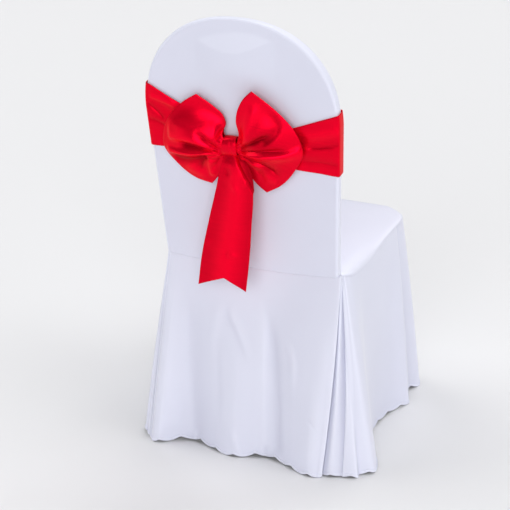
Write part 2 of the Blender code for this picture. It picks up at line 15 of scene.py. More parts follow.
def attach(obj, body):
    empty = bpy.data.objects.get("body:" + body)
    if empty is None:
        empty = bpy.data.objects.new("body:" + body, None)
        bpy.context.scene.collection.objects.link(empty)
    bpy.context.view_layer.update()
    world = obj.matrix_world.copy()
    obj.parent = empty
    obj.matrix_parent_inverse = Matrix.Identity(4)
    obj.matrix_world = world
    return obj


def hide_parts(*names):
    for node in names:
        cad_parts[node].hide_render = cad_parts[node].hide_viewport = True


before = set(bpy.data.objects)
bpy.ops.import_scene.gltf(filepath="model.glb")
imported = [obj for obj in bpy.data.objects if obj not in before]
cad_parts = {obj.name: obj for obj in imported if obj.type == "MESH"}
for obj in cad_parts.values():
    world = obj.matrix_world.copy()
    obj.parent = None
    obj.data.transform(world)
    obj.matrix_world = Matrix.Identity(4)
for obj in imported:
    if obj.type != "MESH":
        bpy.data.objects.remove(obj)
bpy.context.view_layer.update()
bpy.ops.object.select_all(action="DESELECT")


# ------ the room
# A wide floor of pale seamless paper under very broad soft lamps on both sides and overhead.
# The room only shows the cover: none of it is part of the object.
FLOOR_SIZE = 60.0
PAPER = (0.757, 0.758, 0.772, 1.0)
PAPER_DIM = 0.99          # how dark its faint clouds are
PAPER_CLOUDS = 1.5        # to the metre
SKY = (0.97, 0.98, 1.0, 1.0)
SKY_STRENGTH = 0.02
CAMERA_AT = Vector((1.2234, -3.1250, 1.6882))
CAMERA_FACES = Vector((-0.3605, 0.8589, -0.3637))
CAMERA_ROLL = math.radians(0.23)
LENS = 116.445


class Wire:
    """One output of a material's node, so that sums on it read as sums."""

    def __init__(self, finish, socket):
        self.finish = finish
        self.socket = socket

    def sum_of(self, operation, *others):
        return self.finish.node("Math", {"operation": operation}, dict(enumerate(others)))

    def __add__(self, other):
        return self.sum_of("ADD", self, other)

    def __mul__(self, other):
        return self.sum_of("MULTIPLY", self, other)

    __radd__ = __add__
    __rmul__ = __mul__

    def wave(self):
        """Cosine that repeats once each unit."""
        return self.sum_of("COSINE", self * (2 * math.pi))


class Finish:
    """A material as it is being mixed."""

    def __init__(self, name, **constants):
        self.material = bpy.data.materials.new(name)
        self.material.use_nodes = True
        self.tree = self.material.node_tree
        self.shader = self.tree.nodes["Principled BSDF"]
        for socket, value in constants.items():
            self.shader.inputs[socket.replace("_", " ")].default_value = value

    def node(self, kind, settings, values, output=0):
        """A node of any kind: its settings first, then what goes into its sockets."""
        made = self.tree.nodes.new("ShaderNode" + kind)
        for setting, value in settings.items():
            setattr(made, setting, value)
        for socket, value in values.items():
            self.feed(made.inputs[socket], value)
        return Wire(self, made.outputs[output])

    def feed(self, socket, value):
        if isinstance(value, Wire):
            self.tree.links.new(value.socket, socket)
        else:
            socket.default_value = value

    def laid_flat(self):
        """Places across and along the cloth as it was cut."""
        split = self.node("SeparateXYZ", {}, {0: self.node("UVMap", {}, {})}).socket.node
        return Wire(self, split.outputs[0]), Wire(self, split.outputs[1])

    def vary(self, socket, value):
        """Lets a value that changes over the surface into the finished shader."""
        self.feed(self.shader.inputs[socket], value)

    def emboss(self, height):
        """Fine relief, by a height in metres."""
        self.vary("Normal", self.node("Bump", {}, {"Strength": 1.0, "Distance": 1.0, "Height": height}))

    def tint(self, dark, light, amount):
        """A colour between two, by an amount from 0 to 1."""
        return self.node("Mix", {"data_type": "RGBA"}, {0: amount, 6: dark, 7: light}, 2)

    def cloudy(self, scale, detail=2.0, place=None):
        """Soft random patches, about 0.5 on average."""
        place = place or self.node("TexCoord", {}, {}, 3)
        return self.node("TexNoise", {}, {"Vector": place, "Scale": scale, "Detail": detail})


paper = Finish("seamless_paper", Roughness=0.9)
paper.vary("Base Color", paper.tint(PAPER, tuple(PAPER_DIM * part for part in PAPER),
                                    paper.cloudy(PAPER_CLOUDS)))
bpy.ops.mesh.primitive_plane_add(size=FLOOR_SIZE)
floor = bpy.context.object
floor.name = "paper_floor"
floor.data.materials.append(paper.material)

world = bpy.data.worlds.new("studio")
bpy.context.scene.world = world
world.use_nodes = True
sky = world.node_tree.nodes["Background"]
sky.inputs["Color"].default_value = SKY
sky.inputs["Strength"].default_value = SKY_STRENGTH

LAMPS = (
    # degrees round from behind the chair toward its right, degrees above the floor, strength
    ("rear_low", 14, 15, 1.85),
    ("right_low", 95, 15, 0.40),
    ("right_high", 90, 50, 1.20),
    ("front_high", 175, 50, 1.20),
    ("left_high", 268, 50, 1.45),
)
LAMP_SOFTNESS = math.radians(48)
for name, around, above, strength in LAMPS:
    bpy.ops.object.light_add(type="SUN")
    glow = bpy.context.object
    glow.name = "lamp_" + name
    glow.data.energy = strength
    glow.data.angle = LAMP_SOFTNESS
    around, above = math.radians(around), math.radians(above)
    level = math.cos(above)
    out_of = Vector((math.sin(around) * level, -math.cos(around) * level, math.sin(above)))
    glow.rotation_euler = out_of.to_track_quat("Z", "Y").to_euler()

bpy.ops.object.camera_add(location=CAMERA_AT)
camera = bpy.context.object
camera.name = "camera"
turn = CAMERA_FACES.to_track_quat("-Z", "Y") @ Quaternion((0, 0, 1), CAMERA_ROLL)
camera.rotation_euler = turn.to_euler()
camera.data.lens = LENS
bpy.context.scene.camera = camera
bpy.context.scene.view_settings.view_transform = "Standard"
bpy.ops.object.select_all(action="DESELECT")


# ------ the back panel
# One piece of white stretch knit cut to the round outline of the chair's back and pulled
# smooth over its rear face. It is sewn all round to the edge band and below to the skirt.
CLOTH = 0.0008            # thickness of the knit
MIDDLE_X = -0.0147        # the chair's middle plane
BACK_Y = -0.1965          # where the rear face meets the seat seam
SEAT_HEIGHT = 0.424
BACK_LEAN = math.radians(9.2)
BACK_LOW = 0.382          # width of the back at the seat
BACK_HIGH = 0.411         # width where the arch starts
ARCH_START = 0.340        # up the slope of the back
ARCH_RISE = 0.2065
FRONT_RISE = 0.2015
ARCH_ROUND = 2.14         # 2 would be an ellipse
FRONT_ROUND = 2.24
BACK_THICK = 0.022
SEAM_ENDS = 0.004         # the seat seam's height at the sides, and its sag between them
SEAM_SAG = 0.01
PANEL_INSET = 0.0052
PANEL_PROUD = 0.0002      # the seam's slight step over the edge band
PANEL_LAP = 0.0022        # how far the panel's foot laps over the skirt
PANEL_STEPS = 110
PANEL_ROWS = 140
LIP = ((-0.0004, 0.0004), (-0.0010, 0.0012))    # back along the cloth, then inward
WHITE = (0.766, 0.778, 0.898, 1.0)
# the dark end of the knit's colour, reached by its random tone and by painted shade
WHITE_DARK_AND_SHADED = (0.661, 0.671, 0.793, 1.0)
WALE = 0.00065            # width of one column of knit loops
COURSE = 0.00085
LOOP_LEAN, LOOP_RIDGE, LOOP_STEP = 0.18, 0.6, 0.3
KNIT_SLACK, KNIT_FIBRES = 9.0, 900.0            # to the metre
TINT_SLACK, TINT_LOOPS, TINT_FIBRES = 0.3, 0.08, 0.15
TINT_PAINTED_SHADE, TINT_PLAIN = 0.5, 0.25
KNIT_DEEP = 0.00001
SLACK_DEEP = 0.00045
MM = 1000                 # to the metre
CURVE_FINER = 8
LINE_POINTS = 14
ON_LINE = 1e-12           # a place on a line counts as on its left
TINY = 1e-9               # keeps a length off zero
WELD = 0.00001            # how near the ends of a ring are when they are joined


def flow(stations, values, at):
    """A smooth curve through values at rising stations, read at the places in at."""
    stations, values, at = np.asarray(stations), np.asarray(values), np.asarray(at)
    slopes = np.gradient(values, stations, axis=0)
    low = np.clip(np.searchsorted(stations, at, side="right") - 1, 0, len(stations) - 2)
    span = stations[low + 1] - stations[low]
    f = (at - stations[low]) / span
    if values.ndim > 1:
        f = f[:, None]
        span = span[:, None]
    start = (1 + 2 * f) * (1 - f) ** 2 * values[low] + f * (1 - f) ** 2 * span * slopes[low]
    end = f ** 2 * (3 - 2 * f) * values[low + 1] + f ** 2 * (f - 1) * span * slopes[low + 1]
    return start + end


def chords(points):
    """Distances along a polyline, from 0 to its length."""
    return np.append(0, np.cumsum(np.linalg.norm(np.diff(points, axis=0), axis=1)))


def curve_through(points, count):
    """Evenly spaced points on a smooth curve through a few given ones."""
    along = chords(points)
    fine = flow(along, points, np.linspace(0, along[-1], CURVE_FINER * count + 1))
    length = chords(fine)
    even = np.linspace(0, length[-1], count)
    return np.column_stack([np.interp(even, length, fine[:, k]) for k in range(fine.shape[1])])


def ease(x):
    """0 below 0, 1 above 1, and a soft rise between."""
    x = np.clip(x, 0, 1)
    return x * x * (3 - 2 * x)


# A line pressed into the cloth: its height, its widths on the left and right, 1 for sharp or 2 for
# round, the shares of its length over which its ends fade, its places, and its size at either end.
Crease = namedtuple("Crease", "out left right power start stop line flare", defaults=((1, 1),))


def from_line(places, line):
    """How far flat places lie off a line, minus on its right, and how far along it."""
    shape = places.shape[:-1]
    gap, side, along = np.full(shape, np.inf), np.ones(shape), np.zeros(shape)
    length = chords(line)
    for begin, finish, done in zip(line[:-1], line[1:], length):
        way = finish - begin
        size = np.linalg.norm(way)
        off = places - begin
        share = np.clip(off @ way / size ** 2, 0, 1)
        rest = off - share[..., None] * way
        far = np.hypot(rest[..., 0], rest[..., 1])
        nearer = far < gap
        gap = np.where(nearer, far, gap)
        turned = way[0] * off[..., 1] - way[1] * off[..., 0]
        side = np.where(nearer, np.sign(turned + ON_LINE), side)
        along = np.where(nearer, (done + share * size) / length[-1], along)
    return gap * side, along


def pressed(places, creases):
    """Height of the creases and ridges drawn as lines over a flat layout of the cloth."""
    height = np.zeros(places.shape[:-1])
    for row in creases:
        crease = Crease(*row)
        line = curve_through(np.array(crease.line) / MM, LINE_POINTS)
        off, along = from_line(places, line)
        flare = np.interp(along, (0, 1), crease.flare)
        wide = np.where(off > 0, crease.left, crease.right) / MM * flare
        shape = np.exp(-(np.abs(off) / wide) ** crease.power)
        begins = ease(along / crease.start) if crease.start else 1
        ends = ease((1 - along) / crease.stop) if crease.stop else 1
        height += crease.out / MM * flare * shape * begins * ends
    return height


def on_back(flat, out):
    """Places on the leaning back, from across it and up its slope, out of its rear face."""
    up = flat[..., 1]
    y = -up * math.sin(BACK_LEAN) - out * math.cos(BACK_LEAN)
    z = SEAT_HEIGHT + up * math.cos(BACK_LEAN) - out * math.sin(BACK_LEAN)
    return np.stack([flat[..., 0], y, z], axis=-1)


def arch(inset, forward, steps):
    """The round top from left to right, set in from the outline; forward is 1 at the front."""
    angle = np.linspace(math.pi, 0, steps + 1)
    rise = ARCH_RISE + (FRONT_RISE - ARCH_RISE) * forward
    power = 2 / (ARCH_ROUND + (FRONT_ROUND - ARCH_ROUND) * forward)
    cosine = np.cos(angle)
    across = (BACK_HIGH / 2 - inset) * np.sign(cosine) * np.abs(cosine) ** power
    up = ARCH_START + (rise - inset) * np.abs(np.sin(angle)) ** power
    even = chords(np.column_stack([across, up]))
    share = np.linspace(0, even[-1], steps + 1)
    return np.column_stack([np.interp(share, even, across), np.interp(share, even, up)])


def seam_height(across):
    """How far up the slope the seat seam lies."""
    return SEAM_ENDS - SEAM_SAG * (1 - (2 * across / BACK_LOW) ** 2)


def back_face(rows, steps, inset, forward, foot):
    """Flat layout of one face of the back, from its foot up to the arch."""
    top = arch(inset, forward, steps)
    across = np.linspace(-1, 1, steps + 1) * (BACK_LOW / 2 - inset)
    low = np.column_stack([across, foot(across)])
    lift = np.linspace(0, 1, rows + 1)[:, None, None]
    return (1 - lift) * low + lift * top


def facing(grid):
    """Unit normals of a grid of points."""
    down = np.gradient(grid, axis=0)
    along = np.gradient(grid, axis=1)
    normal = np.cross(along, down)
    return normal / np.maximum(np.linalg.norm(normal, axis=-1, keepdims=True), TINY)


def turned_in(grid, inward, edges, lip=LIP):
    """Adds a sewn edge's turning to a grid: inward is 1 or -1 times its normals."""
    held = np.concatenate([grid, facing(grid) * inward], axis=-1)
    for edge in edges:
        upright = edge in ("left", "right")
        first = edge in ("bottom", "left")
        held = np.swapaxes(held, 0, 1) if upright else held
        held = held[::-1] if first else held
        rim, normal = held[-1, :, :3], held[-1, :, 3:]
        pull = held[-2, :, :3] - rim
        pull = pull / np.maximum(np.linalg.norm(pull, axis=-1, keepdims=True), TINY)
        added = [np.hstack([rim + pull * back + normal * deep, normal]) for back, deep in lip]
        held = np.concatenate([held, added])
        held = held[::-1] if first else held
        held = np.swapaxes(held, 0, 1) if upright else held
    return held[..., :3]


def cut_cloth(name, grid, cloth, ring=False, shade=None):
    """A piece of cloth about a grid of points, its flat layout kept as a UV map.

    ring joins its first column to its last; shade is painted shade below 0 and painted highlight above 0,
    from -1 to 1.
    """
    grid = np.asarray(grid, float)
    rows, columns = grid.shape[:2]
    bpy.ops.mesh.primitive_grid_add(x_subdivisions=columns - 1, y_subdivisions=rows - 1, size=1)
    piece = bpy.context.object
    piece.name = name
    mesh = piece.data
    mesh.name = name
    places = np.empty(3 * len(mesh.vertices), np.float32)
    mesh.vertices.foreach_get("co", places)
    column = np.rint((places[0::3] + 0.5) * (columns - 1)).astype(int)
    row = np.rint((places[1::3] + 0.5) * (rows - 1)).astype(int)
    moved = grid[row, column] + (MIDDLE_X, BACK_Y, 0)
    mesh.vertices.foreach_set("co", moved.astype(np.float32).ravel())
    width = np.linalg.norm(np.diff(grid, axis=1, prepend=grid[:, :1]), axis=-1).cumsum(axis=1)
    length = np.linalg.norm(np.diff(grid, axis=0, prepend=grid[:1]), axis=-1).cumsum(axis=0)
    corners = np.empty(len(mesh.loops), np.int32)
    mesh.loops.foreach_get("vertex_index", corners)
    flat = np.stack([width[row, column], length[row, column]], axis=-1)[corners]
    mesh.uv_layers.active.data.foreach_set("uv", flat.astype(np.float32).ravel())
    if shade is not None:
        kept = mesh.attributes.new("shade", "FLOAT", "POINT")
        kept.data.foreach_set("value", np.clip(shade, -1, 1)[row, column].astype(np.float32))
    mesh.update()
    if ring:
        bpy.ops.object.mode_set(mode="EDIT")
        bpy.ops.mesh.select_all(action="SELECT")
        bpy.ops.mesh.remove_doubles(threshold=WELD)
        bpy.ops.object.mode_set(mode="OBJECT")
    solid = piece.modifiers.new("thickness", "SOLIDIFY")
    solid.thickness = cloth.thickness
    solid.offset = 0.0
    solid.use_even_offset = False
    bpy.ops.object.modifier_apply(modifier=solid.name)
    bpy.ops.object.shade_smooth()
    mesh.materials.append(cloth.material)
    bpy.ops.object.select_all(action="DESELECT")
    return piece


def stands_for(piece, node):
    """Fixes a piece to the one body and hides the solid whose place it takes."""
    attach(piece, "root")
    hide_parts(node)


knit = Finish("white_stretch_knit", Roughness=0.60, Sheen_Weight=0.45, Sheen_Roughness=0.35,
              Specular_IOR_Level=0.45)
knit.thickness, knit.slot = CLOTH, "white_stretch_cloth"
knit_across, knit_up = knit.laid_flat()
knit_courses = (knit_up * (1 / COURSE)).wave()
knit_wales = (knit_across * (1 / WALE) + knit_courses * LOOP_LEAN).wave()
knit_loops = knit_wales * LOOP_RIDGE + knit_courses * LOOP_STEP
knit_slack = knit.cloudy(KNIT_SLACK, 1.0)
knit_fibre = knit.cloudy(KNIT_FIBRES, 1.0)
# the shade attribute paints shade and highlights into the knit's colour
knit_painted_shade = knit.node("Attribute", {"attribute_name": "shade"}, {}, 2)
knit.vary("Base Color", knit.tint(WHITE_DARK_AND_SHADED, WHITE, knit_slack * TINT_SLACK + knit_loops * TINT_LOOPS
                                  + knit_fibre * TINT_FIBRES + knit_painted_shade * TINT_PAINTED_SHADE + TINT_PLAIN))
knit.emboss(knit_loops * KNIT_DEEP + knit_slack * SLACK_DEEP)

# The padding stands out a little below its rounded top edge in a shape like a lens, which also gets a
# painted highlight.
LEDGE_TOP = ((-0.0882, 0.4968), (-0.0442, 0.5139), (0.0193, 0.5224), (0.0522, 0.5176), (0.0805, 0.5083))
LEDGE_LOW = ((-0.0882, 0.4968), (-0.0552, 0.4815), (0, 0.4735), (0.0422, 0.4898), (0.0805, 0.5083))
LEDGE_TILT = 0.16
LEDGE_FOOT = (0.385, 0.450)
LENS_LOW_FADE = 0.004     # the lens gets a painted highlight, faded in at its edges
LENS_TOP_FADE = 0.009
LENS_SIDE_FADE = 0.005
LENS_PAINTED_HIGHLIGHT = 0.7
LEDGE_LEAST = 0.0004
LEDGE_POINTS = 40
PANEL_CREASES = (
    (1.6, 14, 14, 2, 0, 0, ((-150, 18), (0, 15), (150, 18))),
    (-1.5, 110, 110, 2, 0, 0, ((-50, 150), (50, 150))),
)


def ledge(places):
    """Height of the panel over the padding, and how strong the painted highlight on the lens is there."""
    across, up = places[..., 0], places[..., 1]
    top = np.interp(across, *curve_through(LEDGE_TOP, LEDGE_POINTS).T)
    low = np.interp(across, *curve_through(LEDGE_LOW, LEDGE_POINTS).T)
    tall = np.maximum(top - low, LEDGE_LEAST)
    foot, full = LEDGE_FOOT
    padding = LEDGE_TILT * tall * (1 - ease((up - low) / tall)) * ease((up - foot) / (full - foot))
    within = ease((up - low) / LENS_LOW_FADE) * ease((top - up) / LENS_TOP_FADE)
    return padding, within * ease((top - low) / LENS_SIDE_FADE)


panel_flat = back_face(PANEL_ROWS, PANEL_STEPS, PANEL_INSET, 0,
                       lambda across: seam_height(across) - PANEL_LAP)
padding, lens_highlight = ledge(panel_flat)
panel_out = PANEL_PROUD - CLOTH / 2 + pressed(panel_flat, PANEL_CREASES) + padding
panel_grid = on_back(panel_flat, panel_out)
panel_grid = turned_in(panel_grid, -1, ("left", "right", "top"))
panel_shade = np.pad(LENS_PAINTED_HIGHLIGHT * lens_highlight, ((0, len(LIP)), (len(LIP), len(LIP))))
back_panel = cut_cloth("back_panel_cloth", panel_grid, knit, shade=panel_shade)
stands_for(back_panel, "back_panel")


# ------ the inside of the back
# The same arch of white knit over the face of the back that the sitter leans on. It is sewn
# to the edge band, and its foot is tucked into the crease behind the seat.
INSIDE_FOOT = 0.0075
INSIDE_ROWS = INSIDE_STEPS = 80
TUCK = ((-0.004, 0.0002), (-0.008, 0.0008), (-0.012, 0.002))    # down into the crease behind the seat
INSIDE_CREASES = (
    (1, 30, 30, 2, 0.2, 0.2, ((-90, 60), (-50, 200), (-70, 380))),
    (-1.4, 60, 60, 2, 0.2, 0.2, ((0, 100), (10, 400))),
)

inside_flat = back_face(INSIDE_ROWS, INSIDE_STEPS, PANEL_INSET, 1, lambda across: INSIDE_FOOT + 0 * across)
inside_out = CLOTH / 2 - PANEL_PROUD - BACK_THICK - pressed(inside_flat, INSIDE_CREASES)
inside_grid = on_back(inside_flat, inside_out)
inside_grid = turned_in(inside_grid, 1, ("left", "right", "top"))
inside_grid = turned_in(inside_grid, 1, ("bottom",), TUCK)
inside = cut_cloth("inside_back_cloth", inside_grid, knit)
stands_for(inside, "inside_back_panel")


# ------ the edge band
# A long narrow strip of the same knit that makes the thickness of the back. It runs up one
# side, over the arch and down the other, and is sewn to the rear and the inside panel.
BAND_FOOT = -0.0035       # its ends go down inside the seam of the skirt
BAND_SIDE_STEPS = 50
BAND_ARCH_STEPS = 150
BAND_CORNER_POINTS = 6
BAND_ROUND = 0.0045       # radius of the soft corner over the edge of the padding
BAND_LIP = ((0.0016, 0.0012), (0.0006, 0.0002))    # beyond the corner and below it, under the panels
BAND_PAINTED_LIGHT = 0.7          # painted highlight over the whole strip
BAND_SWELL = 0.0005       # the strip bellies out over the padding

corner_middle = CLOTH / 2 + BAND_ROUND
corner = [(corner_middle + past, CLOTH / 2 + below) for past, below in BAND_LIP]
corner += [(corner_middle - BAND_ROUND * math.sin(angle), corner_middle - BAND_ROUND * math.cos(angle))
           for angle in np.linspace(0, math.pi / 2, BAND_CORNER_POINTS)]
across_band = corner + [(CLOTH / 2 - BAND_SWELL, BACK_THICK / 2)]
across_band += [(inset, BACK_THICK - deep) for inset, deep in corner[::-1]]
climb = np.linspace(0, 1, BAND_SIDE_STEPS + 1)[:-1, None]
band_grid = []
for inset, deep in across_band:
    over = arch(inset, deep / BACK_THICK, BAND_ARCH_STEPS)
    band_foot = np.array([inset - BACK_LOW / 2, BAND_FOOT])
    left_side = band_foot + climb * (over[0] - band_foot)
    right_side = left_side[::-1] * (-1, 1)
    path = np.concatenate([left_side, over, right_side])
    band_grid.append(on_back(path, -deep))
band_grid = turned_in(np.array(band_grid), -1, ("left", "right"))
band_shade = np.full(band_grid.shape[:2], BAND_PAINTED_LIGHT)
edge_band = cut_cloth("back_edge_band_cloth", band_grid, knit, shade=band_shade)
stands_for(edge_band, "back_edge_band")


# ------ the seat
# A piece of the knit cut to the seat's outline and stretched over its padding, rounded down
# at the rim where the skirt is sewn to it. Its rear edge goes into the crease of the back.
SEAM = 0.0004
SEAT_DEPTH = 0.455
SEAT_HALF = 0.2050
SEAT_CORNER = 0.085
SEAT_TOP = 0.4305
SEAT_CROWN = 0.005
SEAT_ROLL = 0.03
SIDE_SEAM_PLACES = (0, 0.020, 0.045, 0.130, 0.260, 0.460)
SIDE_SEAM_HEIGHTS = (0.4285, 0.4255, 0.4190, 0.4150, 0.4260, 0.4235)
WAIST_WAVE = 0.0025
WAIST_FULL_AT = 0.15
WAIST_PERIOD = 0.55
REAR_TUCK = 0.012
REAR_TUCK_AT = 0.01
REAR_TUCK_REACH = 0.02
SEAT_BACK = 0.0195
SEAT_COLUMNS = 96
SEAT_SIDE_ROWS = 70
SEAT_CORNER_ROWS = 36
FRONT_BOW = 0.004
FRONT_BOW_LATE = 4        # the higher, the nearer to the front edge it bows
SEAT_LAP = ((-0.0008, -0.0004), (-0.0022, -0.0005))     # the rim laps over the skirt's top edge
SEAT_TUCK = ((-0.002, 0.001), (-0.003, 0.005), (-0.0035, 0.012))
SEAT_HIGHLIGHT_IN = 0.02      # painted highlight along the rim and at the rear corners
SEAT_HIGHLIGHT_WIDE = 0.045
SEAT_HIGHLIGHT_LONG = 0.110
SEAT_RIM_HIGHLIGHT = 0.25
SEAT_CREASES = (
    (-0.9, 7, 7, 1, 0.1, 0.5, ((188, 22), (150, 60), (120, 110))),
    (-0.9, 7, 7, 1, 0.1, 0.5, ((-188, 22), (-150, 60), (-125, 105))),
    (1.2, 30, 30, 2, 0.3, 0.3, ((-120, 120), (-20, 150), (100, 130))),
    (-1.4, 60, 60, 2, 0.3, 0.3, ((-60, 260), (60, 280))),
)


def seat_half_width(y):
    """Half the width of the seat at a distance forward of the seam."""
    waist = SEAT_HALF + WAIST_WAVE * np.cos((y - WAIST_FULL_AT) * 2 * math.pi / WAIST_PERIOD)
    tuck = REAR_TUCK * np.exp(-((y - REAR_TUCK_AT) / REAR_TUCK_REACH) ** 2)
    turn = np.clip((y - SEAT_DEPTH + SEAT_CORNER) / SEAT_CORNER, 0, 1)
    return waist - tuck - SEAT_CORNER * (1 - np.sqrt(1 - turn ** 2))


def side_seam(y):
    """Height of the seam between seat and skirt."""
    return flow(SIDE_SEAM_PLACES, SIDE_SEAM_HEIGHTS, np.ravel(y)).reshape(np.shape(y))


corner_turn = np.linspace(0, math.pi / 2, SEAT_CORNER_ROWS + 1)[1:]
seat_y = np.concatenate([np.linspace(SEAT_BACK, SEAT_DEPTH - SEAT_CORNER, SEAT_SIDE_ROWS + 1),
                         SEAT_DEPTH - SEAT_CORNER + SEAT_CORNER * np.sin(corner_turn)])[:, None]
seat_s = np.cos(np.linspace(math.pi, 0, SEAT_COLUMNS + 1))[None, :]
seat_x = seat_s * seat_half_width(seat_y)
bow_out = FRONT_BOW * (1 - seat_s ** 2) * np.clip(seat_y / SEAT_DEPTH, 0, 1) ** FRONT_BOW_LATE
from_side = (1 - np.abs(seat_s)) * seat_half_width(seat_y)
from_front = SEAT_DEPTH - seat_y + 0 * seat_s
near = np.minimum(np.minimum(from_side, from_front) / SEAT_ROLL, 1)
rounding = np.sqrt(1 - (1 - near) ** 2)
seat_rim = side_seam(seat_y) + SEAM
crown = SEAT_CROWN * (1 - seat_s ** 2) * np.sin(math.pi * np.clip(seat_y / SEAT_DEPTH, 0, 1))
seat_flat = np.stack([seat_x, seat_y + 0 * seat_x], axis=-1)
seat_z = seat_rim + (SEAT_TOP - seat_rim) * rounding + crown + pressed(seat_flat, SEAT_CREASES) * near
seat_grid = np.stack([seat_x, seat_y + bow_out, seat_z], axis=-1)
rear_corner_highlight = np.exp(-np.hypot((from_side - SEAT_HIGHLIGHT_IN) / SEAT_HIGHLIGHT_WIDE,
                               (seat_y - SEAT_BACK) / SEAT_HIGHLIGHT_LONG) ** 2)
seat_shade = np.maximum(rear_corner_highlight, np.exp(-(near / SEAT_RIM_HIGHLIGHT) ** 2))
lap = len(SEAT_LAP)
seat_shade = np.pad(seat_shade, ((len(SEAT_TUCK), lap), (lap, lap)), mode="edge")
seat_grid = turned_in(seat_grid, -1, ("left", "right", "top"), SEAT_LAP)
seat_grid = turned_in(seat_grid, -1, ("bottom",), SEAT_TUCK)
seat_cloth = cut_cloth("seat_cloth", seat_grid, knit, shade=seat_shade)
stands_for(seat_cloth, "seat_panel")


# ------ the skirt
# Four hanging panels of the knit, sewn under the rim of the seat and pleated at the corners
# of the chair. Their side edges are turned under, and the scalloped hem ends in a rolled edge.
SKIRT_DROP = 0.0008
SCALLOP_PITCH = 0.05
SCALLOP_DEPTH = 0.0065
SKIRT_FINER = 3           # columns for each step of the fold tables
SKIRT_ROWS = 96
HEM_ROWS = (0.014, 0.0105, 0.0075, 0.005, 0.003, 0.0015)    # last rows, as shares of the drop
HEM_BEAD = 0.0013
HEM_BEAD_AT = 0.0022
HEM_BEAD_WIDE = 0.0016
HEM_TURN = ((-0.0005, 0.0006), (0, 0.0013), (0.002, 0.0016), (0.006, 0.0016))
CREASE_EASE = 0.03        # how far below the seam the creases are at their full depth
SKIRT_TOP = ((-0.0006, 0.0006), (-0.0008, 0.0022))
FLOOR_GAP = 0.0006
HOLLOW_PAINTED_SHADE = 0.01         # painted shade: a hollow as tight as this gets the full darkening
# a crease this high gets the full painted highlight, this deep the full painted shade
CREASE_PAINTED_SHADE = 0.0085
HEM_PAINTED_LIGHT = 0.9           # painted highlight along the hem
HEM_PAINTED_LIGHT_WIDE = 0.003
OTHER_SIDE = (-1, 1, -1, 1, -1, 1, 1, 1)


def spread(steps):
    """Column places for a table whose rows each span a given number of steps."""
    places = [0.0]
    for row, number in enumerate(steps):
        places.extend(row + (k + 1) / number for k in range(number))
    return np.array(places)


def skirt(folds, top_z, creases=(), inward=1):
    """A hanging panel through its folds.

    Each fold has its place at the seam, half way down and at the hem, the height of the hem there,
    and the steps to the next fold.
    """
    places = spread(SKIRT_FINER * folds[:-1, 7].astype(int))
    run = flow(np.arange(len(folds)), folds[:, :7] / MM, places)
    top, mid, hem, lift = run[:, 0:2], run[:, 2:4], run[:, 4:6], run[:, 6]
    length = chords(hem)
    scallops = round(length[-1] / SCALLOP_PITCH)
    within = (length / length[-1] * scallops) % 1.0
    hem_z = lift + SCALLOP_DEPTH * (2 * within - 1) ** 2
    seam_z = top_z(top)
    even = np.linspace(0, 1 - HEM_ROWS[0], SKIRT_ROWS + 1)[:-1]
    fall = np.concatenate([even, 1 - np.array(HEM_ROWS), [1.0]])[:, None]
    grid_z = seam_z * (1 - fall) + hem_z * fall
    t = fall[..., None]
    plan = top * (1 - t) * (1 - 2 * t) + mid * 4 * t * (1 - t) + hem * t * (2 * t - 1)
    grid = np.concatenate([plan, grid_z[..., None]], axis=-1)
    normal = facing(grid) * inward
    normal[..., 2] = 0
    out = HEM_BEAD * np.exp(-((grid_z - hem_z - HEM_BEAD_AT) / HEM_BEAD_WIDE) ** 2)
    out += pressed(grid[..., [0, 2]], creases) * ease((seam_z - grid_z) / CREASE_EASE)
    grid -= normal * out[..., None]
    step = np.linalg.norm(np.gradient(grid, axis=1), axis=-1)
    bend = np.gradient(np.gradient(grid, axis=1), axis=1)
    hollow = -np.sum(bend * normal, axis=-1) / step ** 2
    # painted shade in hollows and troughs, painted highlight on ridges
    shade = -np.clip(hollow * HOLLOW_PAINTED_SHADE, -1, 1) + out / CREASE_PAINTED_SHADE
    # painted highlight along the hem
    shade += HEM_PAINTED_LIGHT * np.exp(-((grid_z - hem_z) / HEM_PAINTED_LIGHT_WIDE) ** 2)
    grid = turned_in(grid, inward, ("bottom",), SKIRT_TOP)
    grid = turned_in(grid, inward, ("top",), HEM_TURN)
    grid[..., 2] = np.maximum(grid[..., 2], FLOOR_GAP)
    shade = np.pad(shade, ((len(SKIRT_TOP), len(HEM_TURN)), (0, 0)), mode="edge")
    return np.concatenate([grid, shade[..., None]], axis=-1)


def back_seam_z(top):
    """Top of the back skirt, just under the back panel."""
    return SEAT_HEIGHT + seam_height(top[:, 0]) * math.cos(BACK_LEAN) - SKIRT_DROP


def side_seam_z(top):
    """Top of the other skirts, just under the rim of the seat."""
    return side_seam(top[:, 1]) - SKIRT_DROP


BACK_FOLDS = np.array([
    # left edge turned under, waves of the panel, right edge turned under
    (-177, 6.2, -190, -21.5, -206, -44, 4, 1),
    (-182.5, 6.2, -198, -22.5, -214, -44, 3, 2),
    (-186, 3.4, -202, -23.5, -218.5, -45, 3, 2),
    (-182.5, 1, -198.5, -26.2, -215.5, -48, 2, 3),
    (-164, 0, -180, -33.5, -194, -60, 1, 6),
    (-115, 0.6, -122, -18, -128, -24, 5, 9),
    (-25, 0.6, -27, -29, -24, -56, 1, 7),
    (45, 0.6, 47, -19, 52, -33, 5, 8),
    (132, 0.6, 140, -34, 151, -72, 1, 5),
    (190.5, 0.6, 190.5, -33, 183, -70, 1, 2),
    (196, 3.6, 196.5, -29, 189, -64.5, 2, 2),
    (190.5, 6.6, 190.5, -25.5, 183, -60.5, 3, 1),
    (182.5, 6.6, 182.5, -24.5, 175, -59.5, 4, 1),
])
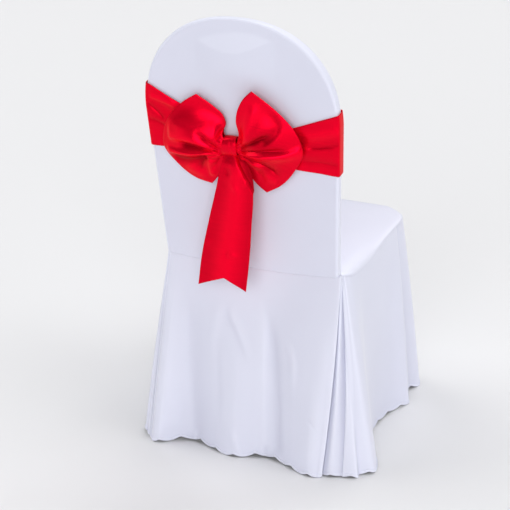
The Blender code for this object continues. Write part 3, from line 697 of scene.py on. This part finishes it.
BACK_CREASES = (
    # drawn downward, so the first width is on the right
    (2.6, 22, 22, 2, 0.2, 0.1, ((-180, 388.2), (-170, 282.4), (-172.6, 157.6), (-177, 20.4))),
    (-3.8, 26, 12, 2, 0.3, 0, ((-135, 360), (-130, 280), (-125.5, 166.3), (-117, 32.1))),
    (-1.8, 9, 9, 2, 0.4, 0.3, ((-65.3, 265.4), (-58.6, 153.2), (-52.8, 44.4))),
    (2, 12, 12, 2, 0.3, 0.5, ((-53.8, 345.2), (-67.2, 304.2), (-75.3, 258.8), (-78, 180))),
    (-1.9, 9, 14, 2, 0.3, 0.4, ((-43.5, 342), (-47.1, 312.3), (-24.7, 272.2), (4.9, 194.1))),
    (2.2, 12, 9, 2, 0.3, 0.5, ((-34, 340), (-35, 310), (-13, 270), (12, 205))),
    (4.2, 12, 30, 2, 0.3, 0, ((14, 370.6), (29, 320), (37, 196.6), (44, 36.2))),
    (-5.6, 14, 13, 2, 0.3, 0, ((49, 330), (61, 240), (70, 152.1), (77, 32.5))),
    (2.2, 6, 9, 2, 0.4, 0.5, ((80.1, 289.9), (102, 255.1), (111.4, 150))),
    (2.2, 18, 18, 2, 0.3, 0.1, ((179, 364.5), (178, 257.8), (170, 145.6), (160, 14.1))),
    (-0.9, 3, 3, 2, 0.3, 0.3, ((150.3, 122.9), (171.5, 102.5))),
    (1.4, 6, 6, 2, 0.5, 0, ((-25.4, 75.6), (-15, 40), (-5, 10))),
)
skirt_grids = {"skirt_back": skirt(BACK_FOLDS, back_seam_z, BACK_CREASES)}

RIGHT_FOLDS = np.array([
    # tucked behind the back skirt, corner pleat, side, front edge turned under
    (179, 9.8, 172, -14, 160, -44, 6, 2),
    (188, 9.8, 195, -20.5, 190, -56, 2, 3),
    (193.4, 10.4, 205.5, -23.5, 206.5, -58.5, 1, 3),
    (194.6, 13.4, 218.5, -10.5, 229.2, -46.8, 4, 3),
    (194.7, 14.6, 222.2, -21.6, 231.8, -50, 3, 2),
    (194.9, 16, 226.2, -19.5, 258.9, -40, 0, 3),
    (195.7, 20.5, 234, -12, 258, -26, 2, 3),
    (199, 26.5, 245.5, 2.5, 285, -3.5, 1, 3),
    (205, 48, 242, 40, 274.5, 40, 4, 5),
    (207, 110, 219, 112, 235, 115, 4, 6),
    (207, 190, 213, 190, 217.5, 188, 3, 6),
    (205.3, 270, 216, 271, 225, 270, 3, 5),
    (203.5, 336, 229, 335, 249.5, 332, 1, 2),
    (200.5, 341, 225.5, 340, 246, 337, 1, 2),
    (197.7, 337, 222.5, 336, 243, 333, 2, 1),
    (197.3, 329, 221.5, 328, 241.5, 325, 3, 1),
])
skirt_grids["skirt_right"] = skirt(RIGHT_FOLDS, side_seam_z)

LEFT_FOLDS = RIGHT_FOLDS * OTHER_SIDE
LEFT_FOLDS[[*range(9), 10]] = (
    # a shallower pleat, and less of a wave half way along the side
    (-179, 9.8, -182, -12, -195, -30, 6, 2),
    (-188, 9.8, -203, -13, -217, -33, 3, 3),
    (-193.4, 10.4, -210.8, -15, -227, -37, 2, 3),
    (-194, 13, -213, -10, -233, -30, 4, 3),
    (-194.4, 14.8, -215, -9.5, -236, -28.8, 3, 2),
    (-194.7, 16.5, -217, -8, -238.5, -27, 2, 2),
    (-195.7, 20.5, -220.5, -4, -244, -19, 3, 2),
    (-199, 26.5, -225, 6, -250, -3, 2, 3),
    (-205, 48, -229, 42, -254, 38, 4, 5),
    (-207, 190, -214.5, 185, -221, 180, 3, 6),
)
skirt_grids["skirt_left"] = skirt(LEFT_FOLDS, side_seam_z, inward=-1)

HALF_FRONT = np.array([
    # tucked behind the side skirt, corner pleat, then half of the front
    (193, 315, 215, 313, 232.5, 308, 6, 2),
    (192.5, 344, 213.5, 346, 231, 344, 3, 3),
    (201, 364, 216.5, 380, 229, 400, 4, 4),
    (197.8, 403, 222.5, 424, 242.5, 443, 0, 4),
    (179, 431, 189, 462, 200, 487, 3, 5),
    (129, 454.5, 132.5, 469, 138, 479, 5, 6),
    (70, 457.5, 71, 479, 75, 493, 1, 6),
])
MIDDLE_FRONT = (0, 459, 0, 472, 0, 476, 5, 6)
other_front = HALF_FRONT[::-1] * OTHER_SIDE
other_front[:, 7] = [*HALF_FRONT[-2::-1, 7], 1]     # the steps lie between the same folds
skirt_grids["skirt_front"] = skirt(np.vstack([HALF_FRONT, MIDDLE_FRONT, other_front]), side_seam_z)

for node, grid in skirt_grids.items():
    hanging = cut_cloth(node + "_cloth", grid[..., :3], knit, shade=grid[..., 3])
    stands_for(hanging, node)


# ------ the sash
# A long strip of red satin passed round the back of the chair over the cover and pulled
# together at the knot, so that soft folds run from the knot out to both sides.
SATIN = 0.0006
RED = (0.960, 0.0010, 0.024, 1.0)
# the dark end of the red, reached by its random tone and by painted shade in the folds
RED_DARK_AND_SHADED = (0.320, 0.0002, 0.006, 1.0)
FLOAT_PITCH = 0.00028     # spacing of the satin's long floating threads
FLOAT_SLANT = 5           # the floats step one pitch up for five along
FLOAT_DEEP = 0.0000022
SLUBS_LONG, SLUBS_WIDE, SATIN_PATCHES = 12.0, 160.0, 25.0       # to the metre
SLUB_DEEP = 0.00012
RED_PAINTED_SHADE, RED_PATCHES, RED_SLUBS, RED_PLAIN = 0.66, 0.15, 0.15, 0.66
SATIN_ROUGH, SLUB_ROUGH = 0.25, 0.10
KNOT_X = -0.0156
KNOT_UP = 0.2812
PINCH = 0.0143
KNOT_LOW = KNOT_UP - PINCH
KNOT_HIGH = KNOT_UP + PINCH
BEHIND = -BACK_THICK - 0.0030
SASH_ROWS = 56
SASH_FINER = 6
SASH_FOLDS = 2.3
# a crease this deep gets the full painted shade or highlight
SASH_PAINTED_SHADE = 0.0045
SASH_FOLD_SHIFT = 0.15
REAR_FROM = 0.0008        # creases are pressed only where the strip lies over the rear of the back
REAR_FADE = 0.0022
STRAPS = np.array([
    # Columns from the knot round the left edge, the front and the right edge, back to the knot:
    # across, edge, out, lower side, upper side, fold and steps to the next. Where edge is -1 or 1,
    # across is counted from that edge of the back.
    (KNOT_X, 0, 0.006, KNOT_LOW, KNOT_HIGH, 0.001, 2),
    (-0.034, 0, 0.006, KNOT_LOW, KNOT_HIGH, 0.001, 3),
    (-0.075, 0, 0.0062, 0.262, 0.328, 0.0022, 3),
    (-0.126, 0, 0.005, 0.256, 0.3535, 0.0018, 3),
    (0.029, -1, 0.0036, 0.254, 0.378, 0.0012, 2),
    (0.006, -1, 0.003, 0.253, 0.389, 0.0005, 1),
    (-0.002, -1, 0.0008, 0.2527, 0.3903, 0, 1),
    (-0.003, -1, -0.005, 0.2527, 0.3903, 0, 2),
    (-0.003, -1, 0.005 - BACK_THICK, 0.2527, 0.3903, 0, 1),
    (-0.002, -1, -0.0008 - BACK_THICK, 0.2527, 0.39, 0, 1),
    (0.006, -1, BEHIND, 0.252, 0.389, 0, 5),
    (0, 0, BEHIND - 0.0012, 0.243, 0.376, 0.0012, 5),
    (-0.006, 1, BEHIND, 0.236, 0.369, 0, 1),
    (0.002, 1, -0.0008 - BACK_THICK, 0.2355, 0.369, 0, 1),
    (0.003, 1, 0.005 - BACK_THICK, 0.2352, 0.369, 0, 2),
    (0.003, 1, -0.005, 0.235, 0.3685, 0, 1),
    (0.002, 1, 0.0008, 0.235, 0.3677, 0, 1),
    (-0.006, 1, 0.003, 0.236, 0.3645, 0.0008, 2),
    (-0.038, 1, 0.0036, 0.2385, 0.352, 0.0014, 3),
    (0.11, 0, 0.005, 0.242, 0.33, 0.0018, 3),
    (0.05, 0, 0.0062, 0.253, 0.311, 0.002, 3),
    (0.0058, 0, 0.006, KNOT_LOW, KNOT_HIGH, 0.001, 2),
    (KNOT_X, 0, 0.006, KNOT_LOW, KNOT_HIGH, 0.001, 0),
])
SASH_CREASES = (
    (-2.9, 6, 4, 1, 0.1, 0.2, ((-203.9, 345.7), (-186.6, 332.6), (-165, 313))),
    (2.2, 8, 5, 2, 0.1, 0.2, ((-198, 364), (-162.1, 355.4), (-135.1, 348.2))),
    (-2.2, 5, 4, 1, 0.1, 0.2, ((-204.5, 310.4), (-186.8, 308.2), (-164, 299.2))),
    (-2.2, 5, 4, 1, 0.2, 0.1, ((134.6, 289.5), (171, 295.7), (212.7, 305.6))),
    (-1.9, 4, 4, 1, 0.2, 0.1, ((119, 258), (165.4, 260.1), (208.6, 258.7))),
    (1.9, 10, 10, 2, 0.2, 0.1, ((125.6, 307), (167.9, 321.2), (213.7, 335.7))),
)


def back_half_width(up):
    """Half the width of the back at a height up its slope."""
    straight = BACK_LOW / 2 + (BACK_HIGH - BACK_LOW) / 2 * up / ARCH_START
    rise = np.clip((up - ARCH_START) / ARCH_RISE, 0, 1)
    curved = BACK_HIGH / 2 * (1 - rise ** ARCH_ROUND) ** (1 / ARCH_ROUND)
    return np.where(up < ARCH_START, straight, curved)


satin = Finish("sash_satin", Metallic=0.55, Specular_IOR_Level=0.35, Specular_Tint=(1.0, 0.05, 0.10, 1.0))
satin.thickness, satin.slot = SATIN, "red_satin"
satin_across, satin_up = satin.laid_flat()
satin_floats = (satin_up * (1 / FLOAT_PITCH) + satin_across * (1 / FLOAT_SLANT / FLOAT_PITCH)).wave()
satin_drawn = satin.node("CombineXYZ", {}, {0: satin_across * SLUBS_LONG, 1: satin_up * SLUBS_WIDE})
satin_slub = satin.cloudy(1.0, place=satin_drawn)
satin_patch = satin.cloudy(SATIN_PATCHES)
# the shade attribute paints shade into the satin's folds and highlights on their ridges
satin_painted_shade = satin.node("Attribute", {"attribute_name": "shade"}, {}, 2)
satin.vary("Base Color", satin.tint(RED_DARK_AND_SHADED, RED, satin_painted_shade * RED_PAINTED_SHADE + satin_patch * RED_PATCHES
                                    + satin_slub * RED_SLUBS + RED_PLAIN))
satin.vary("Roughness", satin_slub * SLUB_ROUGH + SATIN_ROUGH)
satin.emboss(satin_floats * FLOAT_DEEP + satin_slub * SLUB_DEEP)

strap = flow(np.arange(len(STRAPS)), STRAPS[:, :6], spread(STRAPS[:-1, 6].astype(int)))
sash_rows = []
for rise in np.linspace(0, 1, SASH_ROWS + 1):
    up = strap[:, 3] + (strap[:, 4] - strap[:, 3]) * rise
    across = strap[:, 0] + strap[:, 1] * back_half_width(up)
    wave = strap[:, 5] * np.cos(2 * math.pi * (SASH_FOLDS * rise + SASH_FOLD_SHIFT * strap[:, 1]))
    column = np.column_stack([across, up, strap[:, 2] + wave])
    along = chords(column)
    between = np.linspace(np.arange(len(along) - 1), np.arange(1, len(along)), SASH_FINER, endpoint=False)
    places = np.append(np.interp(between.T.ravel(), np.arange(len(along)), along), along[-1])
    sash_rows.append(flow(along, column, places))
sash_rows = np.array(sash_rows)
on_rear = ease((sash_rows[..., 2] - REAR_FROM) / REAR_FADE)
sash_folds = pressed(sash_rows[..., :2], SASH_CREASES) * on_rear
sash_grid = on_back(sash_rows, sash_rows[..., 2] + sash_folds)
# the creases' heights also paint shade and highlights into the colour
sash_band = cut_cloth("sash_band_satin", sash_grid, satin, True, sash_folds / SASH_PAINTED_SHADE)
stands_for(sash_band, "sash_band")


# ------ the bow
# Two full loops of the same satin strip, each doubled back on itself and gathered at the
# knot. Creases run out from the knot and die away toward the folded ends.
LOOP_STEPS = 136
LOOP_ROWS = 92
FRONT_OUT = 0.0265
REAR_OUT = 0.0125
PUFF = 0.019
REAR_DIP = 0.003
PUFF_FROM = 0.12
PUFF_FULL = 0.40
PUFF_EASE = 0.62
PUFF_CLOSE = 0.55
CLOSE_FROM = 0.66         # the upper edges of the two layers come together
CLOSE_GAP = 0.0022
CLOSE_REACH = 0.2
TURN_EASE = 0.12
LOOP_PAINTED_SHADE = 0.0066       # a fold this deep gets the full painted shade or highlight
KNOT_COVERS = 0.025       # the gathered ends go in under the knot
FOLDS_FROM = 0.06
BUNDLE_OUT = 0.017        # inside the knot the two layers make a round bundle
BUNDLE_FRONT = 0.0132
BUNDLE_REAR = 0.0084
BUNDLE_ROUND = 0.85
BUNDLE_REACH = 0.20
GATHERS = 7
GATHER_DEPTH = 0.0003
GATHER_REACH = 0.45
EDGE_POINTS = 61
FOLD_POINTS = 121
FAN = (0.35, 1.25)        # folds are narrow at the knot and open toward the ends
LEFT_LOOP = {
    "low": [(-30.5, 268.9), (-35, 242), (-51, 209), (-64, 192.5)],
    "high": [(-28.5, 293.5), (-33.5, 310), (-28, 325), (-32.5, 343), (-51, 360), (-87, 384)],
    "fold": [(-64, 192.5), (-100, 201), (-141, 231), (-165, 264),
             (-163.5, 294), (-149.5, 329), (-115, 366), (-87, 384)],
    "meet": 0.9,              # where the upper edges meet, from the front layer to the rear one
    "creases": (
        (4.5, 6, 12, 2, 0.2, 0.4, ((-38.9, 281.9), (-42.4, 301.9), (-46.4, 321.3), (-53.1, 337.5)), FAN),
        (-11.5, 7, 6, 1, 0.03, 0.5,
         ((-38.1, 276.6), (-53.1, 291.7), (-66.5, 301.2), (-77, 309), (-88, 313)), FAN),
        (8.5, 6, 20, 2, 0.03, 0.1,
         ((-38.6, 274), (-61.7, 286), (-93.3, 294), (-121.5, 294), (-154.2, 292.5)), FAN),
        (3.8, 16, 10, 2, 0.6, 0.4, ((-80, 317), (-105, 323.5), (-125, 321.5), (-148, 315))),
        (-9.5, 6, 5, 1, 0.03, 0.3,
         ((-39.5, 272.2), (-64.2, 277.9), (-85.8, 280.5), (-108.1, 281.5), (-130, 284)), FAN),
        (8, 6, 8, 2, 0.03, 0.1, ((-39, 268), (-63.8, 269.4), (-99.5, 264), (-126.7, 260), (-160, 259)), FAN),
        (-7.5, 10, 8, 2, 0.03, 0.15,
         ((-40.5, 265), (-62.6, 260), (-92.4, 249), (-117.5, 244), (-148.4, 244)), FAN),
        (3.8, 4, 5, 2, 0.03, 0.3, ((-37, 265), (-47.5, 261.8), (-70, 255))),
        (-8, 5, 7, 1, 0.1, 0.4, ((-62.8, 260), (-75.3, 247.5), (-81.8, 231.9), (-86.3, 217.2))),
        (6, 7, 7, 2, 0.2, 0.3, ((-54, 256), (-58, 240), (-59, 223), (-59, 208))),
        (4, 12, 18, 2, 0.3, 0.3, ((-66.4, 213), (-94, 219), (-120, 233))),
    ),
}
RIGHT_LOOP = {
    "low": [(-0.5, 268.9), (17, 237), (35, 209), (55.5, 189)],
    "high": [(-3, 293.5), (4.5, 311), (1.5, 343), (7, 368), (20, 392), (36, 408)],
    "fold": [(55.5, 189), (87, 209), (121.5, 252), (136.5, 284),
             (129, 318), (101, 356), (73, 381), (36, 408)],
    "meet": 0.3,
    "creases": (
        (4, 14, 10, 2, 0.2, 0.3, ((7, 286), (20, 312), (29, 340.5), (39, 367.5), (45, 391.7)), FAN),
        (-11, 6, 10, 1, 0.03, 0.35, ((4.5, 279.8), (26, 296.5), (44, 308.5), (60, 317), (80.2, 326)), FAN),
        (-4.5, 12, 7, 2, 0.4, 0.35,
         ((33.5, 294), (56.7, 301), (70.5, 312.5), (82.6, 324.5),
          (88.9, 337.5), (84.1, 352.9), (72.3, 365.6), (59.6, 376.5))),
        (-7.5, 6, 4, 1, 0.03, 0.3,
         ((4.5, 276), (44.9, 287.4), (76, 290.8), (97.1, 292.5), (116.8, 295.3)), FAN),
        (8, 6, 11, 2, 0.03, 0.1,
         ((3, 272), (46.8, 278.6), (76.3, 279.3), (104.5, 282.3), (126.2, 289.8), (140, 298.5)), FAN),
        (-8.5, 8, 5, 1, 0.03, 0.3,
         ((8, 265.5), (32.6, 261.7), (53.7, 255.2), (72.7, 241.9), (89.4, 226.1)), FAN),
        (3.4, 4, 6, 2, 0.4, 0.4, ((20, 258), (41, 252), (57.1, 247.2))),
        (3.4, 10, 10, 2, 0.4, 0.2, ((48.5, 224.7), (65.5, 222.5), (81.4, 214.6))),
    ),
}


def patch(low, high, fold, along, across):
    """A flat patch between a lower, an upper and an outer edge, from the knot outward."""
    low_curve, high_curve = (curve_through(np.array(edge) / MM, EDGE_POINTS) for edge in (low, high))
    fold_curve = curve_through(np.array(fold) / MM, FOLD_POINTS)

    def read(curve, place):
        index = np.linspace(0, 1, len(curve))
        return np.stack([np.interp(place, index, curve[:, k]) for k in (0, 1)], axis=-1)

    s = along[..., None]
    w = across[..., None]
    knot = (1 - w) * low_curve[0] + w * high_curve[0]
    corners = ((1 - s) * (1 - w) * low_curve[0] + (1 - s) * w * high_curve[0]
               + s * (1 - w) * low_curve[-1] + s * w * high_curve[-1])
    return ((1 - w) * read(low_curve, along) + w * read(high_curve, along)
            + (1 - s) * knot + s * read(fold_curve, across) - corners)


def loop_grid(loop):
    """One loop of the bow: out from the knot in front, round its fold and back behind."""
    even = np.linspace(0, 1, LOOP_STEPS + 1)
    turn = math.pi * (even - TURN_EASE * np.sin(2 * math.pi * even))[None, :]
    w = np.linspace(0, 1, LOOP_ROWS + 1)[:, None]
    along = np.sin(turn) + 0 * w
    across = w + 0 * turn
    flat = patch(loop["low"], loop["high"], loop["fold"], along, across)
    swell = np.sin(math.pi * np.clip(along, 0, 1))
    rising = np.clip((across - PUFF_FROM) / (PUFF_FULL - PUFF_FROM), 0, 1)
    fullness = rising * (1 - PUFF_CLOSE * ease((across - PUFF_EASE) / (1 - PUFF_EASE)))
    front = FRONT_OUT + PUFF * fullness * swell
    rear = REAR_OUT - REAR_DIP * swell
    bundle = np.sqrt(1 - BUNDLE_ROUND * (2 * across - 1) ** 2)
    bundled = 1 - ease(along / BUNDLE_REACH)
    front += (BUNDLE_OUT + BUNDLE_FRONT * bundle - front) * bundled
    rear += (BUNDLE_OUT - BUNDLE_REAR * bundle - rear) * bundled
    closing = ease((across - CLOSE_FROM) / (1 - CLOSE_FROM)) * ease(along / CLOSE_REACH)
    meet = front + (rear - front) * loop["meet"]
    front = front + (meet + CLOSE_GAP / 2 - front) * closing
    rear = rear + (meet - CLOSE_GAP / 2 - rear) * closing
    out = (front + rear) / 2 + (front - rear) / 2 * np.cos(turn)
    face = np.sqrt(np.clip(np.cos(turn), 0, 1))
    folds = pressed(flat, loop["creases"]) * face * ease((along - KNOT_COVERS) / FOLDS_FROM)
    out += folds
    gather = np.cos(2 * math.pi * GATHERS * across) * np.clip(1 - along / GATHER_REACH, 0, 1)
    out += GATHER_DEPTH * gather * np.where(even <= 0.5, 1, -1)
    grid = on_back(flat, out)
    # the folds' heights also paint shade and highlights into the colour
    return np.concatenate([grid, folds[..., None] / LOOP_PAINTED_SHADE], axis=-1)


left_grid = loop_grid(LEFT_LOOP)
right_grid = loop_grid(RIGHT_LOOP)[:, ::-1]
bow_grid = np.concatenate([left_grid, right_grid, left_grid[:, :1]], axis=1)
bow = cut_cloth("bow_loops_satin", bow_grid[..., :3], satin, True, bow_grid[..., 3])
stands_for(bow, "bow_loops")


# ------ the knot
# A short length of the satin wrapped tightly round the middle of the bow and round the
# gathered sash behind it, soft and full, with a few small pleats.
KNOT_HALF = 0.0176
KNOT_SHIFT = -0.001
KNOT_TAPER = 0.26         # it is narrower where it goes over the top
KNOT_TALL = 0.0202
KNOT_DEEP = 0.0158
KNOT_OUT = 0.017
KNOT_SQUARE = 2.2
KNOT_STEPS = 120
KNOT_ROWS = 36
KNOT_BELLY = 0.05
KNOT_WAIST = 0.10
KNOT_PLEAT = 0.0007
KNOT_PLEAT_AT = 0.25
KNOT_PLEAT_WIDE = 0.16
KNOT_EDGES = ((1, 0.97), (0.985, 0.9), (0.94, 0.82))     # how far along, and how wide there

around = np.linspace(0, 2 * math.pi, KNOT_STEPS + 1)[None, :]
edge_place, edge_size = np.transpose(KNOT_EDGES)
side = np.concatenate([-edge_place[::-1], np.linspace(-1, 1, KNOT_ROWS + 1), edge_place])[:, None]
drawn = np.concatenate([edge_size[::-1], np.ones(KNOT_ROWS + 1), edge_size])[:, None]
power = 2 / KNOT_SQUARE
cosine = np.cos(around)
sine = np.sin(around)
belly = 1 + KNOT_BELLY * (1 - side ** 2)
in_front = np.clip(cosine, 0, 1)
pleat = -KNOT_PLEAT * np.exp(-((side - KNOT_PLEAT_AT) / KNOT_PLEAT_WIDE) ** 2) * in_front * (1 - sine)
depth = drawn * KNOT_DEEP * np.sign(cosine) * np.abs(cosine) ** power
knot_out = KNOT_OUT + depth * (1 + (belly - 1) * in_front) + pleat
knot_up = KNOT_UP + drawn * KNOT_TALL * belly * np.sign(sine) * np.abs(sine) ** power
narrow = (1 - KNOT_WAIST * in_front) * (1 - KNOT_TAPER * np.clip(sine, 0, 1) ** 2)
knot_across = KNOT_X + KNOT_SHIFT + KNOT_HALF * side * narrow
knot_grid = on_back(np.stack([knot_across, knot_up], axis=-1), knot_out)
knot = cut_cloth("bow_knot_satin", knot_grid, satin, True)
stands_for(knot, "bow_knot")


# ------ the tail
# The free end of the sash, which hangs from under the knot over the seat seam. It opens from
# a folded edge at the top, and its end is cut to a notch.
TAIL = np.array([
    # height, place forward, left and right side
    (688, -69, -29, 8),
    (676.6, -73.5, -29, 13),
    (669, -76.5, -31, 18.5),
    (655, -78.5, -35, 28),
    (620, -78.5, -42, 35.2),
    (540, -76.5, -61.2, 32.5),
    (462, -75, -78, 27),
    (395.5, -75, -86.5, 20),
]) / MM
TAIL_ROWS = 110
TAIL_STEPS = 50
NOTCH = 0.027
NOTCH_AT = 0.55
TIP_DROP = 0.0055
FOLD_START = -0.0105
FOLD_SLOPE = 0.57
STEP_BACK = 0.007
STEP_EDGE = 0.005
STEP_LOW = 0.54
STEP_FADE = 0.06
STEP_PAINTED_SHADE = -1.1         # painted shade on the recessed part of the fold
# waves and creases this deep get the full painted shade or highlight
TAIL_PAINTED_SHADE = 0.006
TAIL_WAVE = 0.002
TAIL_WAVES = 2.2
TAIL_WAVE_FROM = 0.3
TAIL_WAVE_FADE = 0.15
TAIL_CREASES = (
    (-1.8, 8, 6, 2, 0.5, 0.5, ((-26.2, 660.2), (-19.7, 648.5), (-10, 637.2))),
    (1.6, 7, 6, 2, 0.5, 0.5, ((-13.1, 633.8), (-2.4, 617.2), (8.3, 600.7))),
    (1.6, 4, 7, 2, 0.5, 0.2, ((12.2, 620), (21, 630.7), (25.5, 637))),
    (1.4, 6, 4, 2, 0.5, 0.5, ((-24.9, 451.6), (-9.2, 459.8), (8.1, 469.3))),
    (-1.4, 3, 7, 2, 0.5, 0.5, ((-14.8, 478.2), (-20.2, 460.3), (-24.6, 439.3))),
    (1, 8, 6, 2, 0.5, 0.5, ((-68.9, 476.3), (-60.1, 491.2), (-51.4, 501.7))),
)

fall = np.linspace(0, 1, TAIL_ROWS + 1)[:, None]
tail_top, tail_end = TAIL[0, 0], TAIL[-1, 0]
tail_z = tail_top + (tail_end - tail_top) * fall
tail_row = flow(-TAIL[:, 0], TAIL[:, 1:], -tail_z[:, 0])
span = np.linspace(0, 1, TAIL_STEPS + 1)[None, :]
tail_x = tail_row[:, 1:2] + (tail_row[:, 2:3] - tail_row[:, 1:2]) * span
cut = NOTCH * (1 - np.abs(span - NOTCH_AT) / NOTCH_AT) - TIP_DROP * span
notch = cut * np.clip(2 * fall - 1, 0, 1)
fold_line = FOLD_START + (tail_top - tail_z) * FOLD_SLOPE
step = ease((tail_x - fold_line) / STEP_EDGE) * np.clip((tail_z - STEP_LOW) / STEP_FADE, 0, 1)
soft = -TAIL_WAVE * np.sin(math.pi * (TAIL_WAVES * span + TAIL_WAVE_FROM))
soft = soft * np.clip(fall / TAIL_WAVE_FADE, 0, 1)
soft += pressed(np.stack([tail_x, tail_z + 0 * tail_x], axis=-1), TAIL_CREASES)
tail_y = tail_row[:, 0:1] + STEP_BACK * step - soft
tail_grid = np.stack([tail_x, tail_y, tail_z + notch], axis=-1)
# painted shade on the recessed strip, painted shade and highlights from the waves and creases
tail_shade = STEP_PAINTED_SHADE * step + soft / TAIL_PAINTED_SHADE
tail = cut_cloth("bow_tail_satin", tail_grid, satin, False, tail_shade)
stands_for(tail, "bow_tail")
